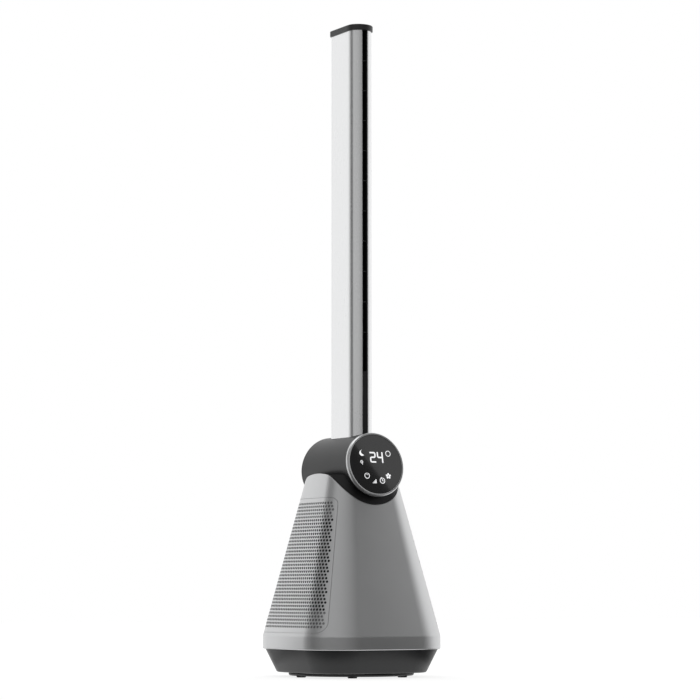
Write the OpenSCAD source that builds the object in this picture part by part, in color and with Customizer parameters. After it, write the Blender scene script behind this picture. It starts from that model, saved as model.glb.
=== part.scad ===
// Bladeless tower fan: a tapered base with an intake grille on each side, a level
// barrel with a touch display on its front end, and a tall hollow column that blows
// air through a slot down its front. The tower swings on a round foot plate.
// Millimetres, +Z up, the front faces -Y, the origin is on the floor under the middle.

/* [Base shell] */
// Width of the base across its skirt
base_w = 230.8; // [220:0.2:240]
// Width of the base at its crest, beside the barrel
crest_w = 115; // [111:0.5:119]
// Height of the upright skirt
skirt_h = 19.3; // [16:0.1:24]
// Height of the slope from the skirt to the crest
slope_h = 237.8; // [232:0.2:248]
// Corner radius of the base as a share of its half width
corner_share = 0.582; // [0.54:0.002:0.62]
// Bulge of each side of the base as a share of its half width
side_bulge = 0.017; // [0.012:0.001:0.024]
// Wall of the base shell
shell_wall = 3; // [2.6:0.1:3.4]
// Chamfer along the lower edge of the skirt
skirt_chamfer = 1; // [0.5:0.1:1.5]
// Thickness of the brackets that take the base screws
tab_t = 3; // [2:0.5:4]
// Radius of those brackets round their screws
tab_r = 7; // [6:0.5:8]

/* [Lower pan] */
// Height of the dark pan below the skirt
pan_h = 34; // [32:0.5:38]
// Distance from the base's side in to the pan's bottom edge
pan_tuck = 18.6; // [15:0.1:21]
// Thickness of the pan's floor
pan_floor_t = 3; // [2.5:0.1:4]
// Wall of the pan
pan_wall = 3; // [2.5:0.1:3.5]
// Height of the lip that stands inside the skirt
pan_lip_h = 8; // [6:0.5:10]
// Distance of each base screw in from the base's sides
base_screw_in = 45.4; // [43:0.1:48]
// Radius of the posts that take the base screws
base_post_r = 6.5; // [6:0.5:8]
// Height of the base screws' posts above the skirt's lower edge
base_post_rise = 11.5; // [10:0.5:13]

/* [Foot] */
// Distance from the pan's bottom edge in to the round foot plate's edge
foot_tuck = 4.8; // [2:0.1:7]
// Thickness of the foot plate
foot_t = 3.4; // [3:0.1:4.5]
// Number of rubber pads
pad_count = 6; // [5:1:7]
// Radius of a rubber pad
pad_r = 6.75; // [6:0.25:7.5]
// Height that the pads stand below the foot plate
pad_proud = 2; // [1.5:0.1:3]
// Depth that the pads sink into the foot plate
pad_sunk = 1.2; // [0.8:0.1:1.6]
// Radius of the hub that the tower turns on
hub_r = 14; // [13:0.5:15]
// Radius of the cable way through the hub
hub_bore_r = 7; // [5:0.5:7.5]
// Thickness of the glide washer under the tower
glide_t = 1; // [0.8:0.1:1.5]
// Outer radius of the glide washer
glide_r = 42; // [36:1:60]

/* [Swing drive] */
// Tooth module of the swing gears
gear_module = 2; // [1.9:0.05:2]
// Teeth on the fixed gear
gear_teeth = 24; // [24:2:26]
// Teeth on the pinion
pinion_teeth = 12; // [12:1:13]
// Width of the gears
gear_t = 6; // [5:0.5:7]
// Thickness of the retainer that holds the tower down
retainer_t = 3; // [2:0.5:4]
// Radius of the retainer
retainer_r = 21; // [20:0.5:22]
// Radius of the pinion's shaft
pinion_shaft_r = 2.5; // [2:0.1:3]
// Radius of the swing motor
swing_motor_r = 24; // [22:0.5:25]
// Height of the swing motor
swing_motor_h = 14; // [12:0.5:18]

/* [Intake grilles] */
// Gap between a grille and the crest
grille_top_gap = 37.8; // [36:0.2:42]
// Gap between a grille and the crease above the skirt
grille_bottom_gap = 5.4; // [4:0.2:9]
// Distance from the base's side to the grille's edge at its top
grille_top_edge = 12.8; // [11:0.1:15]
// Distance from the base's side to the grille's edge at its bottom
grille_bottom_edge = 23.6; // [21:0.1:26]
// Radius of a grille's corners
grille_corner_r = 12; // [10:0.5:14]
// Thickness of a grille
grille_t = 1.5; // [1.3:0.1:1.6]
// Radius of the holes
hole_r = 2.8; // [2.2:0.1:3.2]
// Spacing of the holes along a row
hole_pitch = 10.8; // [10:0.2:13]
// Spacing of the rows
row_pitch = 8.4; // [8:0.2:10]
// Rows of shallow dimples at the top and at the bottom
dimple_rows = 3; // [1:1:4]
// Depth of a dimple
dimple_depth = 0.7; // [0.4:0.1:0.9]

/* [Barrel] */
// Outer radius of the barrel
barrel_r = 44.7; // [44:0.1:45.5]
// Wall of the barrel
barrel_wall = 2.5; // [2:0.1:3]
// Height of the barrel's axis above the crest
barrel_lift = 11.2; // [10:0.1:13]
// Distance from the tower's axis to the middle of the barrel's rear face
barrel_rear = 69.9; // [68:0.1:72]
// Lean of the barrel's rear face, with its top to the front
rear_tilt = 13; // [11:0.5:14]
// Thickness of the barrel's rear cap
rear_cap_t = 3; // [2:0.5:4]
// Width of the dark cradle's face around the barrel
cradle_w = 14; // [13:0.1:15]
// Depth of the cradle's face behind the shell's face
cradle_inset = 1.2; // [0.6:0.1:2]

/* [Display] */
// Distance from the tower's axis to the display's middle
display_front = 70; // [67:0.5:72]
// Lean of the display, facing up
display_tilt = 11; // [8:0.5:13]
// Overhang of the display's ring past the barrel
ring_over = 3; // [2.5:0.1:3.5]
// Depth of the display's ring
ring_depth = 5.5; // [5:0.5:8]
// Width of the ring around the display glass
ring_w = 3.6; // [3.2:0.1:4]
// Thickness of the display glass
glass_t = 2; // [1.5:0.1:2.5]

/* [Column] */
// Width of the column
column_w = 37.2; // [35:0.2:38]
// Length of the column's flat sides
column_side = 57.1; // [52:0.5:58]
// Depth of the column's curved front
column_nose = 13; // [11:0.2:14]
// Distance from the tower's axis to the column's front
column_front = 40.6; // [38:0.2:42]
// Radius of the column's rear corners
column_rear_r = 4; // [3:0.5:6]
// Wall of the column
column_wall = 1.8; // [1.4:0.1:2.2]
// Height from the barrel's axis to the column's cap
column_h = 649; // [600:0.5:700]
// Thickness of the cap
cap_t = 8.5; // [7:0.5:12]
// Overhang of the cap
cap_over = 2; // [1:0.1:2.5]

/* [Air outlet] */
// Width of the dark outlet strip
strip_w = 9; // [8:0.1:9.6]
// Clear width of the air slot
slot_w = 6.4; // [5:0.1:6.6]
// Height of the air slot
slot_h = 510; // [460:1:520]
// Number of fins across the slot
fin_count = 10; // [8:1:11]
// Distance from one fin to the next, and from the slot's top to the first
fin_pitch = 45.2; // [42:0.2:46]
// Thickness of a fin
fin_t = 1.2; // [1:0.1:1.6]
// Depth of the slot's cheeks behind the column's front
cheek_depth = 17; // [14:0.5:20]

/* [Fan unit] */
// Height of the riser duct's cone, from the fan unit to its neck
riser_cone_h = 38.6; // [34:0.1:44]
// Inner radius of the housing round the impeller
housing_r = 57; // [56:0.1:58]
// Inner radius of the housing round the diffuser
diffuser_seat_r = 61.5; // [60.5:0.1:62]
// Wall of the housing
housing_wall = 2.5; // [2:0.1:3]
// Height of the housing's lower part
housing_low_h = 54; // [52:0.5:56]
// Height of the housing's upper part
housing_high_h = 58; // [56:0.5:62]
// Radius of the intake throat
throat_r = 36; // [34:0.5:38]
// Radius of the impeller
impeller_r = 54; // [52:0.1:54.5]
// Number of impeller blades
blade_count = 11; // [7:1:13]
// Thickness of a blade
blade_t = 1.8; // [1.4:0.1:2.2]
// Number of diffuser vanes
vane_count = 9; // [7:1:11]
// Height of the diffuser
diffuser_h = 48; // [46:0.5:52]
// Outer radius of the diffuser's motor tube
motor_tube_r = 30; // [29.6:0.1:31]
// Height of the fan motor's stator
stator_h = 34; // [30:0.5:36]
// Radius of the motor shaft
shaft_r = 4; // [3:0.1:4.5]
// Outer radius of the shaft bearings
bearing_r = 11; // [10:0.5:11.5]
// Width of the shaft bearings
bearing_t = 7; // [6:0.5:7]
// Radius of the riser duct where it enters the barrel
riser_r = 32; // [30:0.5:34]

/* [Electrics] */
// Length of the power board
board_l = 84; // [78:1:86]
// Distance from the power board to the pan's wall
board_side_gap = 10.8; // [8:0.1:16]
// Height of the power board's standoffs
standoff_h = 8; // [6:0.5:10]
// Radius of the cord way through the inlet
cord_way_r = 3.6; // [3:0.1:4]
// Radius of the inlet's body
inlet_r = 5.5; // [5:0.1:6.5]
// Height of the inlet above the pan's bottom
inlet_lift = 17.5; // [16:0.5:19]

/* [Hidden] */

// Running clearance between the tower and the foot
run_gap = 0.1;
// Clearance round a shaft or a screw in its hole
fit_gap = 0.05;
// Clearance between pieces that are set into each other
seat_gap = 0.3;
// How far a cutting shape reaches past what it cuts
over = 5;
// Facets of a full circle on drilled and turned shapes
round_fn = 48;
// Facets of a full circle on the tapered shells
shell_fn = 56;
// Facets of a full circle on small holes
hole_fn = 16;
// Facets of a full circle at a grille's corners
corner_fn = 32;

// Heights up the tower
plate_top = pad_proud + foot_t;
pan_z = plate_top + glide_t + run_gap;
pan_floor_z = pan_z + pan_floor_t;
skirt_z = pan_z + pan_h;
crease_z = skirt_z + skirt_h;
crest_z = crease_z + slope_h;
barrel_z = crest_z + barrel_lift;
column_top = barrel_z + column_h;
cap_top = column_top + cap_t;

// The display's ring stands a little past the barrel, and the glass fills it
ring_r = barrel_r + ring_over;
glass_r = ring_r - ring_w;

// The base narrows evenly from the crease to the crest
base_half = base_w / 2;
crest_half = crest_w / 2;
pan_bottom_half = base_half - pan_tuck;
foot_r = pan_bottom_half - foot_tuck;
base_screw_xy = base_half - base_screw_in;
taper = (base_half - crest_half) / slope_h;
function half_at(z) = base_half - taper * (z - crease_z);

// The base's section, for a half width of 1: the sides are shallow arcs, which run into the
// round corners where their direction has turned by side_turn
side_arc_r = (pow(1 - corner_share, 2) + pow(side_bulge, 2)) / (2 * side_bulge);
corner_mid = (1 - side_arc_r + sqrt(2 * pow(side_arc_r - corner_share, 2) - pow(side_arc_r - 1, 2))) / 2;
side_turn = atan2(corner_mid, corner_mid + side_arc_r - 1);
side_steps = 6;
section_angles = concat(
    [for (i = [0 : side_steps - 1]) side_turn * (2 * i / side_steps - 1)],
    [for (i = [0 : shell_fn / 4 - 1]) side_turn + (90 - 2 * side_turn) * i / (shell_fn / 4)]
);

// The point of the section at which its surface faces the angle a, from the middle of a side
function section_point(a) = a < side_turn
    ? [1 - side_arc_r + side_arc_r * cos(a), side_arc_r * sin(a)]
    : [corner_mid + corner_share * cos(a), corner_mid + corner_share * sin(a)];

// The outline of the section with half width half
function rounded_square_points(half) = [
    for (q = [0 : 3], a = section_angles) let (p = half * section_point(a))
        [p[0] * cos(90 * q) - p[1] * sin(90 * q), p[0] * sin(90 * q) + p[1] * cos(90 * q)]
];

module rounded_square(half) {
    polygon(rounded_square_points(half));
}

// A rounded square block that goes from half width low at z0 to high at z1, set in by inset
module taper_block(z0, z1, low, high, inset = 0) {
    translate([0, 0, z0])
        linear_extrude(z1 - z0, scale = (high - inset) / (low - inset)) rounded_square(low - inset);
}

// The upright stretch of the base between two heights
module skirt_block(z0, z1, inset = 0) {
    translate([0, 0, z0]) linear_extrude(z1 - z0) rounded_square(base_half - inset);
}

module cone_block(inset = 0) {
    taper_block(crease_z, crest_z, base_half, crest_half, inset);
}

module tube(r_out, r_in, h) {
    difference() {
        cylinder(r = r_out, h = h, $fn = round_fn);
        translate([0, 0, -over]) cylinder(r = r_in, h = h + 2 * over, $fn = round_fn);
    }
}

module disc(r, h) {
    cylinder(r = r, h = h, $fn = round_fn);
}

// A screw with its head's top at zero, pointing down
module screw(head_r, head_h, shank_r, length) {
    translate([0, 0, -head_h]) difference() {
        cylinder(r = head_r, h = head_h, $fn = hole_fn);
        translate([0, 0, head_h / 2]) cylinder(r = head_r / 2, h = head_h, $fn = 6);
    }
    translate([0, 0, -length]) cylinder(r = shank_r, h = length - head_h, $fn = hole_fn);
}

// A child at each corner of a square pattern
module four_corners(x, y) {
    for (sx = [-1, 1], sy = [-1, 1]) translate([sx * x, sy * y]) children();
}

// A level cylinder on the barrel's axis
module barrel_bar(r, y0, y1) {
    translate([0, y1, barrel_z]) rotate([90, 0, 0]) cylinder(r = r, h = y1 - y0, $fn = 2 * round_fn);
}

// Places a child on the display's face: Z out of the glass, Y up along it
module on_display() {
    translate([0, -display_front, barrel_z]) rotate([90 - display_tilt, 0, 0]) children();
}

// Places a child on the barrel's rear face: Z out of it
module on_rear() {
    translate([0, barrel_rear, barrel_z]) rotate([rear_tilt - 90, 0, 0]) children();
}

// Foot: the plate, its pads and the pivot

pad_circle_r = foot_r - pad_r - run_gap - seat_gap;
hub_screw_r = (hub_r + hub_bore_r) / 2;
hub_screw_shank = 1.2;
hub_screw_head = 2.2;
hub_screw_head_h = 1.8;
hub_screw_depth = 6;
hub_screw_count = 3;
pan_boss_h = 8;
pan_boss_wall = 9;
pan_boss_r = hub_r + pan_boss_wall;
hub_top = pan_z + pan_boss_h + run_gap;
plate_rim_h = foot_t / 2;
plate_rim_in = 1.5;
retainer_z = hub_top;
gear_z = retainer_z + retainer_t;

module pad_places() {
    for (i = [0 : pad_count - 1]) rotate([0, 0, -90 + (i + 0.5) * 360 / pad_count])
        translate([pad_circle_r, 0]) children();
}

module hub_screw_places() {
    for (i = [0 : hub_screw_count - 1]) rotate([0, 0, i * 360 / hub_screw_count])
        translate([hub_screw_r, 0]) children();
}

module foot_plate() color("#2a2b2d") {
    difference() {
        union() {
            translate([0, 0, pad_proud]) rotate_extrude($fn = 2 * round_fn)
                polygon([
                    [0, 0], [foot_r - plate_rim_in, 0], [foot_r, plate_rim_h],
                    [foot_r, foot_t], [0, foot_t]
                ]);
            translate([0, 0, pad_proud]) disc(hub_r, hub_top - pad_proud);
        }
        disc(hub_bore_r, hub_top + over);
        pad_places() translate([0, 0, -over]) disc(pad_r + fit_gap, over + pad_proud + pad_sunk);
        hub_screw_places() translate([0, 0, hub_top - hub_screw_depth])
            cylinder(r = hub_screw_shank + fit_gap, h = hub_screw_depth + over, $fn = hole_fn);
    }
}

module foot_pads() color("#151515") pad_places() disc(pad_r, pad_proud + pad_sunk);

module glide_washer() color("#dcdcd6")
    translate([0, 0, plate_top]) tube(glide_r, hub_r + seat_gap, glide_t);

module pivot_retainer() color("#b9bcc0") difference() {
    translate([0, 0, retainer_z]) tube(retainer_r, hub_bore_r, retainer_t);
    hub_screw_places() cylinder(r = hub_screw_shank + fit_gap, h = gear_z + over, $fn = hole_fn);
}

module retainer_screws() color("#a5a8ab") hub_screw_places()
    translate([0, 0, gear_z + gear_t + hub_screw_head_h])
        screw(hub_screw_head, hub_screw_head_h, hub_screw_shank,
              hub_screw_head_h + gear_t + retainer_t + hub_screw_depth - seat_gap);

// Swing drive: a fixed gear, and a pinion that walks round it

pressure_angle = 20;
addendum_share = 0.8;
dedendum_share = 1.15;
backlash = 0.35;
flank_steps = 4;
gear_pitch_r = gear_module * gear_teeth / 2;
pinion_pitch_r = gear_module * pinion_teeth / 2;
pinion_y = gear_pitch_r + pinion_pitch_r;
bracket_gap = 1;
bracket_z = gear_z + gear_t + bracket_gap;
bracket_t = 2;
bracket_half_w = 12;
pinion_tip_r = pinion_pitch_r + gear_module * addendum_share;
bracket_leg_out = 16;
bracket_leg_x = pinion_tip_r + bracket_leg_out;
bracket_leg_r = 4;
bracket_screw_r = 1.5;
bracket_screw_head = 3;
bracket_screw_head_h = 2;
bracket_screw_bite = 2;
swing_motor_z = bracket_z + bracket_t;
shaft_in_share = 0.6;
pinion_shaft_in = swing_motor_h * shaft_in_share;

// Angle swept past the base circle where an involute reaches radius r
function roll(base_r, r) = r <= base_r ? 0 : sqrt(pow(r / base_r, 2) - 1) * 180 / PI;
// Polar angle of the involute at that roll
function lag(t) = t - atan(t * PI / 180);
// A tooth's right flank from root to tip, as radius and angle from the tooth's middle
function flank(teeth) = let (
    pitch_r = gear_module * teeth / 2,
    base_r = pitch_r * cos(pressure_angle),
    root_r = pitch_r - gear_module * dedendum_share,
    tip_r = pitch_r + gear_module * addendum_share,
    half = 90 / teeth - backlash / pitch_r * 90 / PI + lag(roll(base_r, pitch_r))
) concat([[root_r, half]],
         [for (i = [0 : flank_steps])
             let (r = max(base_r, root_r) + (tip_r - max(base_r, root_r)) * i / flank_steps)
             [r, half - lag(roll(base_r, r))]]);
function gear_points(teeth) = let (f = flank(teeth), n = len(f)) [
    for (k = [0 : teeth - 1], j = [0 : 2 * n - 1]) let (
        p = j < n ? f[j] : f[2 * n - 1 - j],
        a = k * 360 / teeth + (j < n ? -p[1] : p[1])
    ) p[0] * [cos(a), sin(a)]
];

module swing_gear() color("#e4e2da") difference() {
    translate([0, 0, gear_z]) linear_extrude(gear_t) rotate(90) polygon(gear_points(gear_teeth));
    translate([0, 0, gear_z - over]) disc(hub_bore_r, gear_t + 2 * over);
    hub_screw_places() cylinder(r = hub_screw_shank + fit_gap, h = bracket_z, $fn = hole_fn);
}

module swing_pinion() color("#e4e2da") translate([0, pinion_y, gear_z]) {
    linear_extrude(gear_t) rotate(-90 + 180 / pinion_teeth) polygon(gear_points(pinion_teeth));
    disc(pinion_shaft_r, swing_motor_z - gear_z + pinion_shaft_in - seat_gap);
}

module bracket_legs() {
    for (sx = [-1, 1]) translate([sx * bracket_leg_x, pinion_y]) children();
}

module swing_bracket() color("#b9bcc0") difference() {
    union() {
        translate([-bracket_leg_x, pinion_y - bracket_half_w, bracket_z])
            cube([2 * bracket_leg_x, 2 * bracket_half_w, bracket_t]);
        bracket_legs() translate([0, 0, pan_floor_z])
            disc(bracket_leg_r, bracket_z + bracket_t - pan_floor_z);
    }
    translate([0, pinion_y, 0]) disc(pinion_shaft_r + seat_gap, swing_motor_z + over);
    bracket_legs() cylinder(r = bracket_screw_r + fit_gap, h = swing_motor_z + over, $fn = hole_fn);
}

module bracket_screws() color("#a5a8ab") bracket_legs()
    translate([0, 0, swing_motor_z + bracket_screw_head_h])
        screw(bracket_screw_head, bracket_screw_head_h, bracket_screw_r,
              swing_motor_z + bracket_screw_head_h - pan_floor_z + bracket_screw_bite);

module swing_motor() color("#c4c6c9") translate([0, pinion_y, swing_motor_z]) difference() {
    disc(swing_motor_r, swing_motor_h);
    translate([0, 0, -over]) disc(pinion_shaft_r + fit_gap, pinion_shaft_in + over);
    for (sx = [-1, 1]) translate([sx * bracket_leg_x, 0, -over])
        disc(bracket_screw_head + seat_gap, swing_motor_h + 2 * over);
}

// Lower pan: the tray that carries the tower

pan_side_gap = 0.5;
pan_top_half = base_half - shell_wall - pan_side_gap;
base_post_z = skirt_z + base_post_rise;
base_screw_r = 2;
base_screw_head = 3.8;
base_screw_head_h = 2.6;
base_screw_land = 6;
tab_boss_h = 6;
base_screw_bite = tab_boss_h;
housing_post_xy = 55;
housing_post_r = 6;
housing_screw_r = 1.8;
housing_screw_head = 3.4;
housing_screw_head_h = 2.2;
housing_screw_bite = 9;
riser_neck_drop = 8;
riser_flange_t = 2.5;
gasket_t = 1;
riser_neck_z = barrel_z - barrel_r - cradle_w - riser_neck_drop;
riser_z = riser_neck_z - riser_cone_h - riser_flange_t;
housing_top = riser_z - gasket_t;
step_z = housing_top - housing_high_h;
housing_z = step_z - housing_low_h;
board_clear = 16;
board_in_x = retainer_r + board_clear;
board_w = pan_bottom_half - pan_wall - board_side_gap - board_in_x;
board_x = -board_in_x - board_w / 2;
board_hole_in = 4;
board_hole_x = board_w / 2 - board_hole_in;
board_hole_y = board_l / 2 - board_hole_in;
standoff_r = 3;
board_screw_r = 1.2;
board_screw_head = 2.4;
board_screw_head_h = 1.6;
board_screw_bite = 5;
board_t = 1.6;
board_z = pan_floor_z + standoff_h;

// Inlet bush of the cord: its seat is a level pocket in the pan's rear wall
inlet_z = pan_z + inlet_lift;
inlet_flange_r = 9;
inlet_flange_t = 2.5;
inlet_inner_flange_r = 7.6;
inlet_recess = 0.8;
inlet_seat_y = pan_bottom_half - inlet_recess;
inlet_wall_l = 8;
inlet_boss_r = 12;
inlet_nose_l = 3;
inlet_nose_wall = 1.6;
inlet_nose_r = cord_way_r + inlet_nose_wall;

module inlet_bar(r, y0, y1) {
    translate([0, y1, inlet_z]) rotate([90, 0, 0]) disc(r, y1 - y0);
}

module pan_outside() {
    taper_block(pan_z, skirt_z, pan_bottom_half, pan_top_half);
    translate([0, 0, skirt_z]) linear_extrude(pan_lip_h) rounded_square(pan_top_half);
}

module pan_inside() {
    slope = (pan_top_half - pan_bottom_half) / pan_h;
    low = pan_bottom_half + slope * pan_floor_t;
    taper_block(pan_floor_z, skirt_z, low, pan_top_half, pan_wall);
    translate([0, 0, skirt_z]) linear_extrude(pan_lip_h + over) rounded_square(pan_top_half - pan_wall);
}

module lower_pan() color("#333437") difference() {
    union() {
        difference() {
            pan_outside();
            pan_inside();
        }
        translate([0, 0, pan_z]) disc(pan_boss_r, pan_boss_h);
        four_corners(base_screw_xy, base_screw_xy) translate([0, 0, pan_z])
            disc(base_post_r, base_post_z - pan_z);
        four_corners(housing_post_xy, housing_post_xy) translate([0, 0, pan_z])
            disc(housing_post_r, housing_z - pan_z);
        translate([board_x, 0, pan_z]) four_corners(board_hole_x, board_hole_y)
            disc(standoff_r, board_z - pan_z);
        intersection() {
            inlet_bar(inlet_boss_r, inlet_seat_y - inlet_wall_l, base_half);
            taper_block(pan_z, skirt_z, pan_bottom_half, pan_top_half, pan_wall / 2);
        }
    }
    translate([0, 0, -over]) disc(hub_r + fit_gap, hub_top + 2 * over);
    four_corners(base_screw_xy, base_screw_xy) {
        disc(base_screw_head + seat_gap, base_post_z - base_screw_land);
        cylinder(r = base_screw_r + fit_gap, h = base_post_z + over, $fn = hole_fn);
    }
    four_corners(housing_post_xy, housing_post_xy)
        translate([0, 0, housing_z - housing_screw_bite])
            cylinder(r = housing_screw_r + fit_gap, h = housing_screw_bite + over, $fn = hole_fn);
    bracket_legs() translate([0, 0, pan_floor_z - bracket_screw_bite - fit_gap])
        cylinder(r = bracket_screw_r + fit_gap, h = bracket_screw_bite + over, $fn = hole_fn);
    translate([board_x, 0, board_z - board_screw_bite - fit_gap])
        four_corners(board_hole_x, board_hole_y)
            cylinder(r = board_screw_r + fit_gap, h = board_screw_bite + over, $fn = hole_fn);
    inlet_bar(inlet_r + fit_gap, inlet_seat_y - inlet_wall_l - over, base_half);
    inlet_bar(inlet_flange_r + seat_gap, inlet_seat_y, base_half);
}

module cord_inlet() color("#1c1c1d") difference() {
    union() {
        inlet_bar(inlet_flange_r, inlet_seat_y, inlet_seat_y + inlet_flange_t);
        inlet_bar(inlet_nose_r, inlet_seat_y, inlet_seat_y + inlet_flange_t + inlet_nose_l);
        inlet_bar(inlet_r, inlet_seat_y - inlet_wall_l - inlet_flange_t, inlet_seat_y);
        inlet_bar(inlet_inner_flange_r, inlet_seat_y - inlet_wall_l - inlet_flange_t,
                  inlet_seat_y - inlet_wall_l);
    }
    inlet_bar(cord_way_r, inlet_seat_y - inlet_wall_l - inlet_flange_t - over, base_half);
}

// Base shell and its grilles

shell_tab_reach = base_w / 4;
tab_arm_share = 0.8;
grille_seat = 4;
grille_seam = 0.3;
grille_margin = 7.4;
grille_bottom = crease_z + grille_bottom_gap;
grille_top = crest_z - grille_top_gap;
grille_bottom_half = half_at(grille_bottom) - grille_bottom_edge;
grille_top_half = half_at(grille_top) - grille_top_edge;
grille_slope = (grille_bottom_half - grille_top_half) / (grille_top - grille_bottom);
grille_stretch = sqrt(1 + pow(grille_slope, 2));
row_count = floor((grille_top - grille_bottom - 2 * grille_margin) / row_pitch) + 1;
row_start = (grille_bottom + grille_top - (row_count - 1) * row_pitch) / 2;

// Half width of a grille's outline at a height
function grille_half(z) = grille_bottom_half - grille_slope * (z - grille_bottom);

module grille_outline(grow) {
    low_z = grille_bottom + grille_corner_r;
    high_z = grille_top - grille_corner_r;
    hull() for (sy = [-1, 1], z = [low_z, high_z])
        translate([sy * (grille_half(z) - grille_corner_r * grille_stretch), z])
            circle(grille_corner_r + grow, $fn = corner_fn);
}

// The outline carried through the right side of the base
module grille_prism(grow) {
    rotate([90, 0, 90]) linear_extrude(base_w) grille_outline(grow);
}

// The place on the base's section of half width half, a distance s along it from the
// middle of the side, as [x, y, angle of the surface's normal]
function on_section(half, s) = let (
    turn = abs(s) / half * 180 / PI,
    a = turn < side_arc_r * side_turn
        ? turn / side_arc_r
        : side_turn + (turn - side_arc_r * side_turn) / corner_share,
    p = half * section_point(a),
    side = s < 0 ? -1 : 1
) [p[0], side * p[1], side * a];

// Distance along the section from the middle of the side to where it reaches y
function along_section(half, y) = let (share = y / half) half * PI / 180 * (
    share < side_arc_r * sin(side_turn)
        ? side_arc_r * asin(share / side_arc_r)
        : side_arc_r * side_turn + corner_share * (asin((share - corner_mid) / corner_share) - side_turn)
);

module grille_holes() {
    for (i = [0 : row_count - 1]) {
        z = row_start + i * row_pitch;
        half = half_at(z);
        reach = along_section(half, grille_half(z)) - grille_margin;
        blind = i < dimple_rows || i >= row_count - dimple_rows;
        shift = hole_pitch * (i % 3) / 3;
        copies = ceil(base_w / hole_pitch);
        for (k = [-copies : copies]) {
            s = shift + k * hole_pitch;
            if (abs(s) <= reach) {
                p = on_section(half, s);
                translate([p[0], p[1], z]) rotate([0, 0, p[2]]) rotate([0, 90, 0])
                    translate([0, 0, blind ? -dimple_depth : -over])
                        cylinder(r = hole_r, h = 2 * over, $fn = hole_fn);
            }
        }
    }
}

module grille_panel() color("#b4b6b8") difference() {
    intersection() {
        cone_block();
        grille_prism(0);
    }
    cone_block(grille_t);
    grille_holes();
}

module grille_right() grille_panel();
module grille_left() mirror([1, 0, 0]) grille_panel();

// The rebate that a grille sits in, with the opening behind it
module grille_window() {
    difference() {
        grille_prism(grille_seam);
        cone_block(grille_t + fit_gap);
    }
    grille_prism(-grille_seat);
}

module shell_tab() {
    translate([0, 0, base_post_z]) disc(tab_r, tab_boss_h);
    rotate([0, 0, 45]) translate([0, -tab_r * tab_arm_share, base_post_z])
        cube([shell_tab_reach, 2 * tab_r * tab_arm_share, tab_t]);
}

module base_shell() color("#b4b6b8") difference() {
    union() {
        difference() {
            union() {
                taper_block(skirt_z, skirt_z + skirt_chamfer, base_half - skirt_chamfer, base_half);
                skirt_block(skirt_z + skirt_chamfer, crease_z);
                cone_block();
            }
            skirt_block(skirt_z - over, crease_z, shell_wall);
            cone_block(shell_wall);
        }
        intersection() {
            for (a = [0, 90, 180, 270]) rotate([0, 0, a])
                translate([base_screw_xy, base_screw_xy]) shell_tab();
            skirt_block(skirt_z, crease_z, shell_wall / 2);
        }
    }
    barrel_bar(barrel_r + cradle_w, -base_w, base_w);
    grille_window();
    mirror([1, 0, 0]) grille_window();
    four_corners(base_screw_xy, base_screw_xy) translate([0, 0, base_post_z - over])
        cylinder(r = base_screw_r + fit_gap, h = over + base_screw_bite, $fn = hole_fn);
}

module base_screws() color("#a5a8ab") four_corners(base_screw_xy, base_screw_xy)
    translate([0, 0, base_post_z - base_screw_land - base_screw_head_h]) mirror([0, 0, 1])
        screw(base_screw_head, base_screw_head_h, base_screw_r,
              base_screw_head_h + base_screw_land + base_screw_bite - seat_gap);

// Power board on its standoffs

transformer = [20, 24, 18];
capacitor_r = 6;
capacitor_h = 20;
socket = [10, 16, 8];

module power_board() color("#2f6b45") translate([board_x, 0, board_z]) {
    difference() {
        translate([-board_w / 2, -board_l / 2, 0]) cube([board_w, board_l, board_t]);
        four_corners(board_hole_x, board_hole_y) translate([0, 0, -over])
            cylinder(r = board_screw_r + fit_gap, h = 2 * over, $fn = hole_fn);
    }
    translate([-transformer[0] / 2, -transformer[1] / 2, board_t]) cube(transformer);
    for (sy = [-1, 1]) translate([0, sy * (transformer[1] / 2 + 2 * capacitor_r), board_t])
        disc(capacitor_r, capacitor_h);
    for (sy = [-1, 1]) translate([board_w / 4, sy * board_l / 4 - socket[1] / 2, board_t]) cube(socket);
}

module board_screws() color("#a5a8ab")
    translate([board_x, 0, board_z + board_t + board_screw_head_h])
        four_corners(board_hole_x, board_hole_y)
            screw(board_screw_head, board_screw_head_h, board_screw_r,
                  board_screw_head_h + board_t + board_screw_bite);

// Fan unit: housing, impeller, diffuser and motor

housing_lip_w = 4;
housing_lip_t = 1.5;
housing_step_t = 2.5;
ear_t = 4;
ear_r = 7;
ring_plate_t = 2.5;
ring_lip_t = 2;
throat_plate_w = 9;
ring_plate_in = throat_r + throat_plate_w;
ring_throat_h = 11;
intake_z = housing_z + housing_lip_t;
throat_top = intake_z + ring_throat_h;
impeller_gap = 2.5;
impeller_z = throat_top + impeller_gap;
impeller_shroud_t = 2;
impeller_h = 32;
eye_margin = 1;
impeller_eye_r = throat_r + eye_margin;
impeller_hub_low_r = 12;
impeller_hub_high_r = 46;
impeller_hub_wall = 3;
hub_floor_share = 1 / 6;
impeller_top_gap = 1;
blade_inner_r = 26;
blade_sweep = 40;
bore_gap = 0.03;
diffuser_z = step_z;
diffuser_wall = 2.4;
diffuser_floor_t = 2.5;
vane_sweep = 16;
vane_t = 1.6;
bearing_boss_wall = 3;
bearing_boss_r = bearing_r + bearing_boss_wall;
stator_z = diffuser_z + diffuser_floor_t;
stator_r = motor_tube_r - diffuser_wall - seat_gap;
stator_depth = 11;
rotor_r = stator_r - stator_depth;
rotor_gap = 0.5;
slot_count = 9;
stator_slot_w = 4;
stator_slot_l = 6;
cover_z = stator_z + stator_h;
cover_t = 3;
cover_boss_h = 8;
boss_clear = 2;
rotor_inset = 3;
rotor_z = stator_z + rotor_inset;
rotor_h = stator_h - 2 * rotor_inset;
lower_bearing_z = stator_z - bearing_t;
nut_h = 6;
nut_r = 7.2;
shaft_past = 1;
shaft_low = impeller_z - nut_h - shaft_past;
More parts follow.
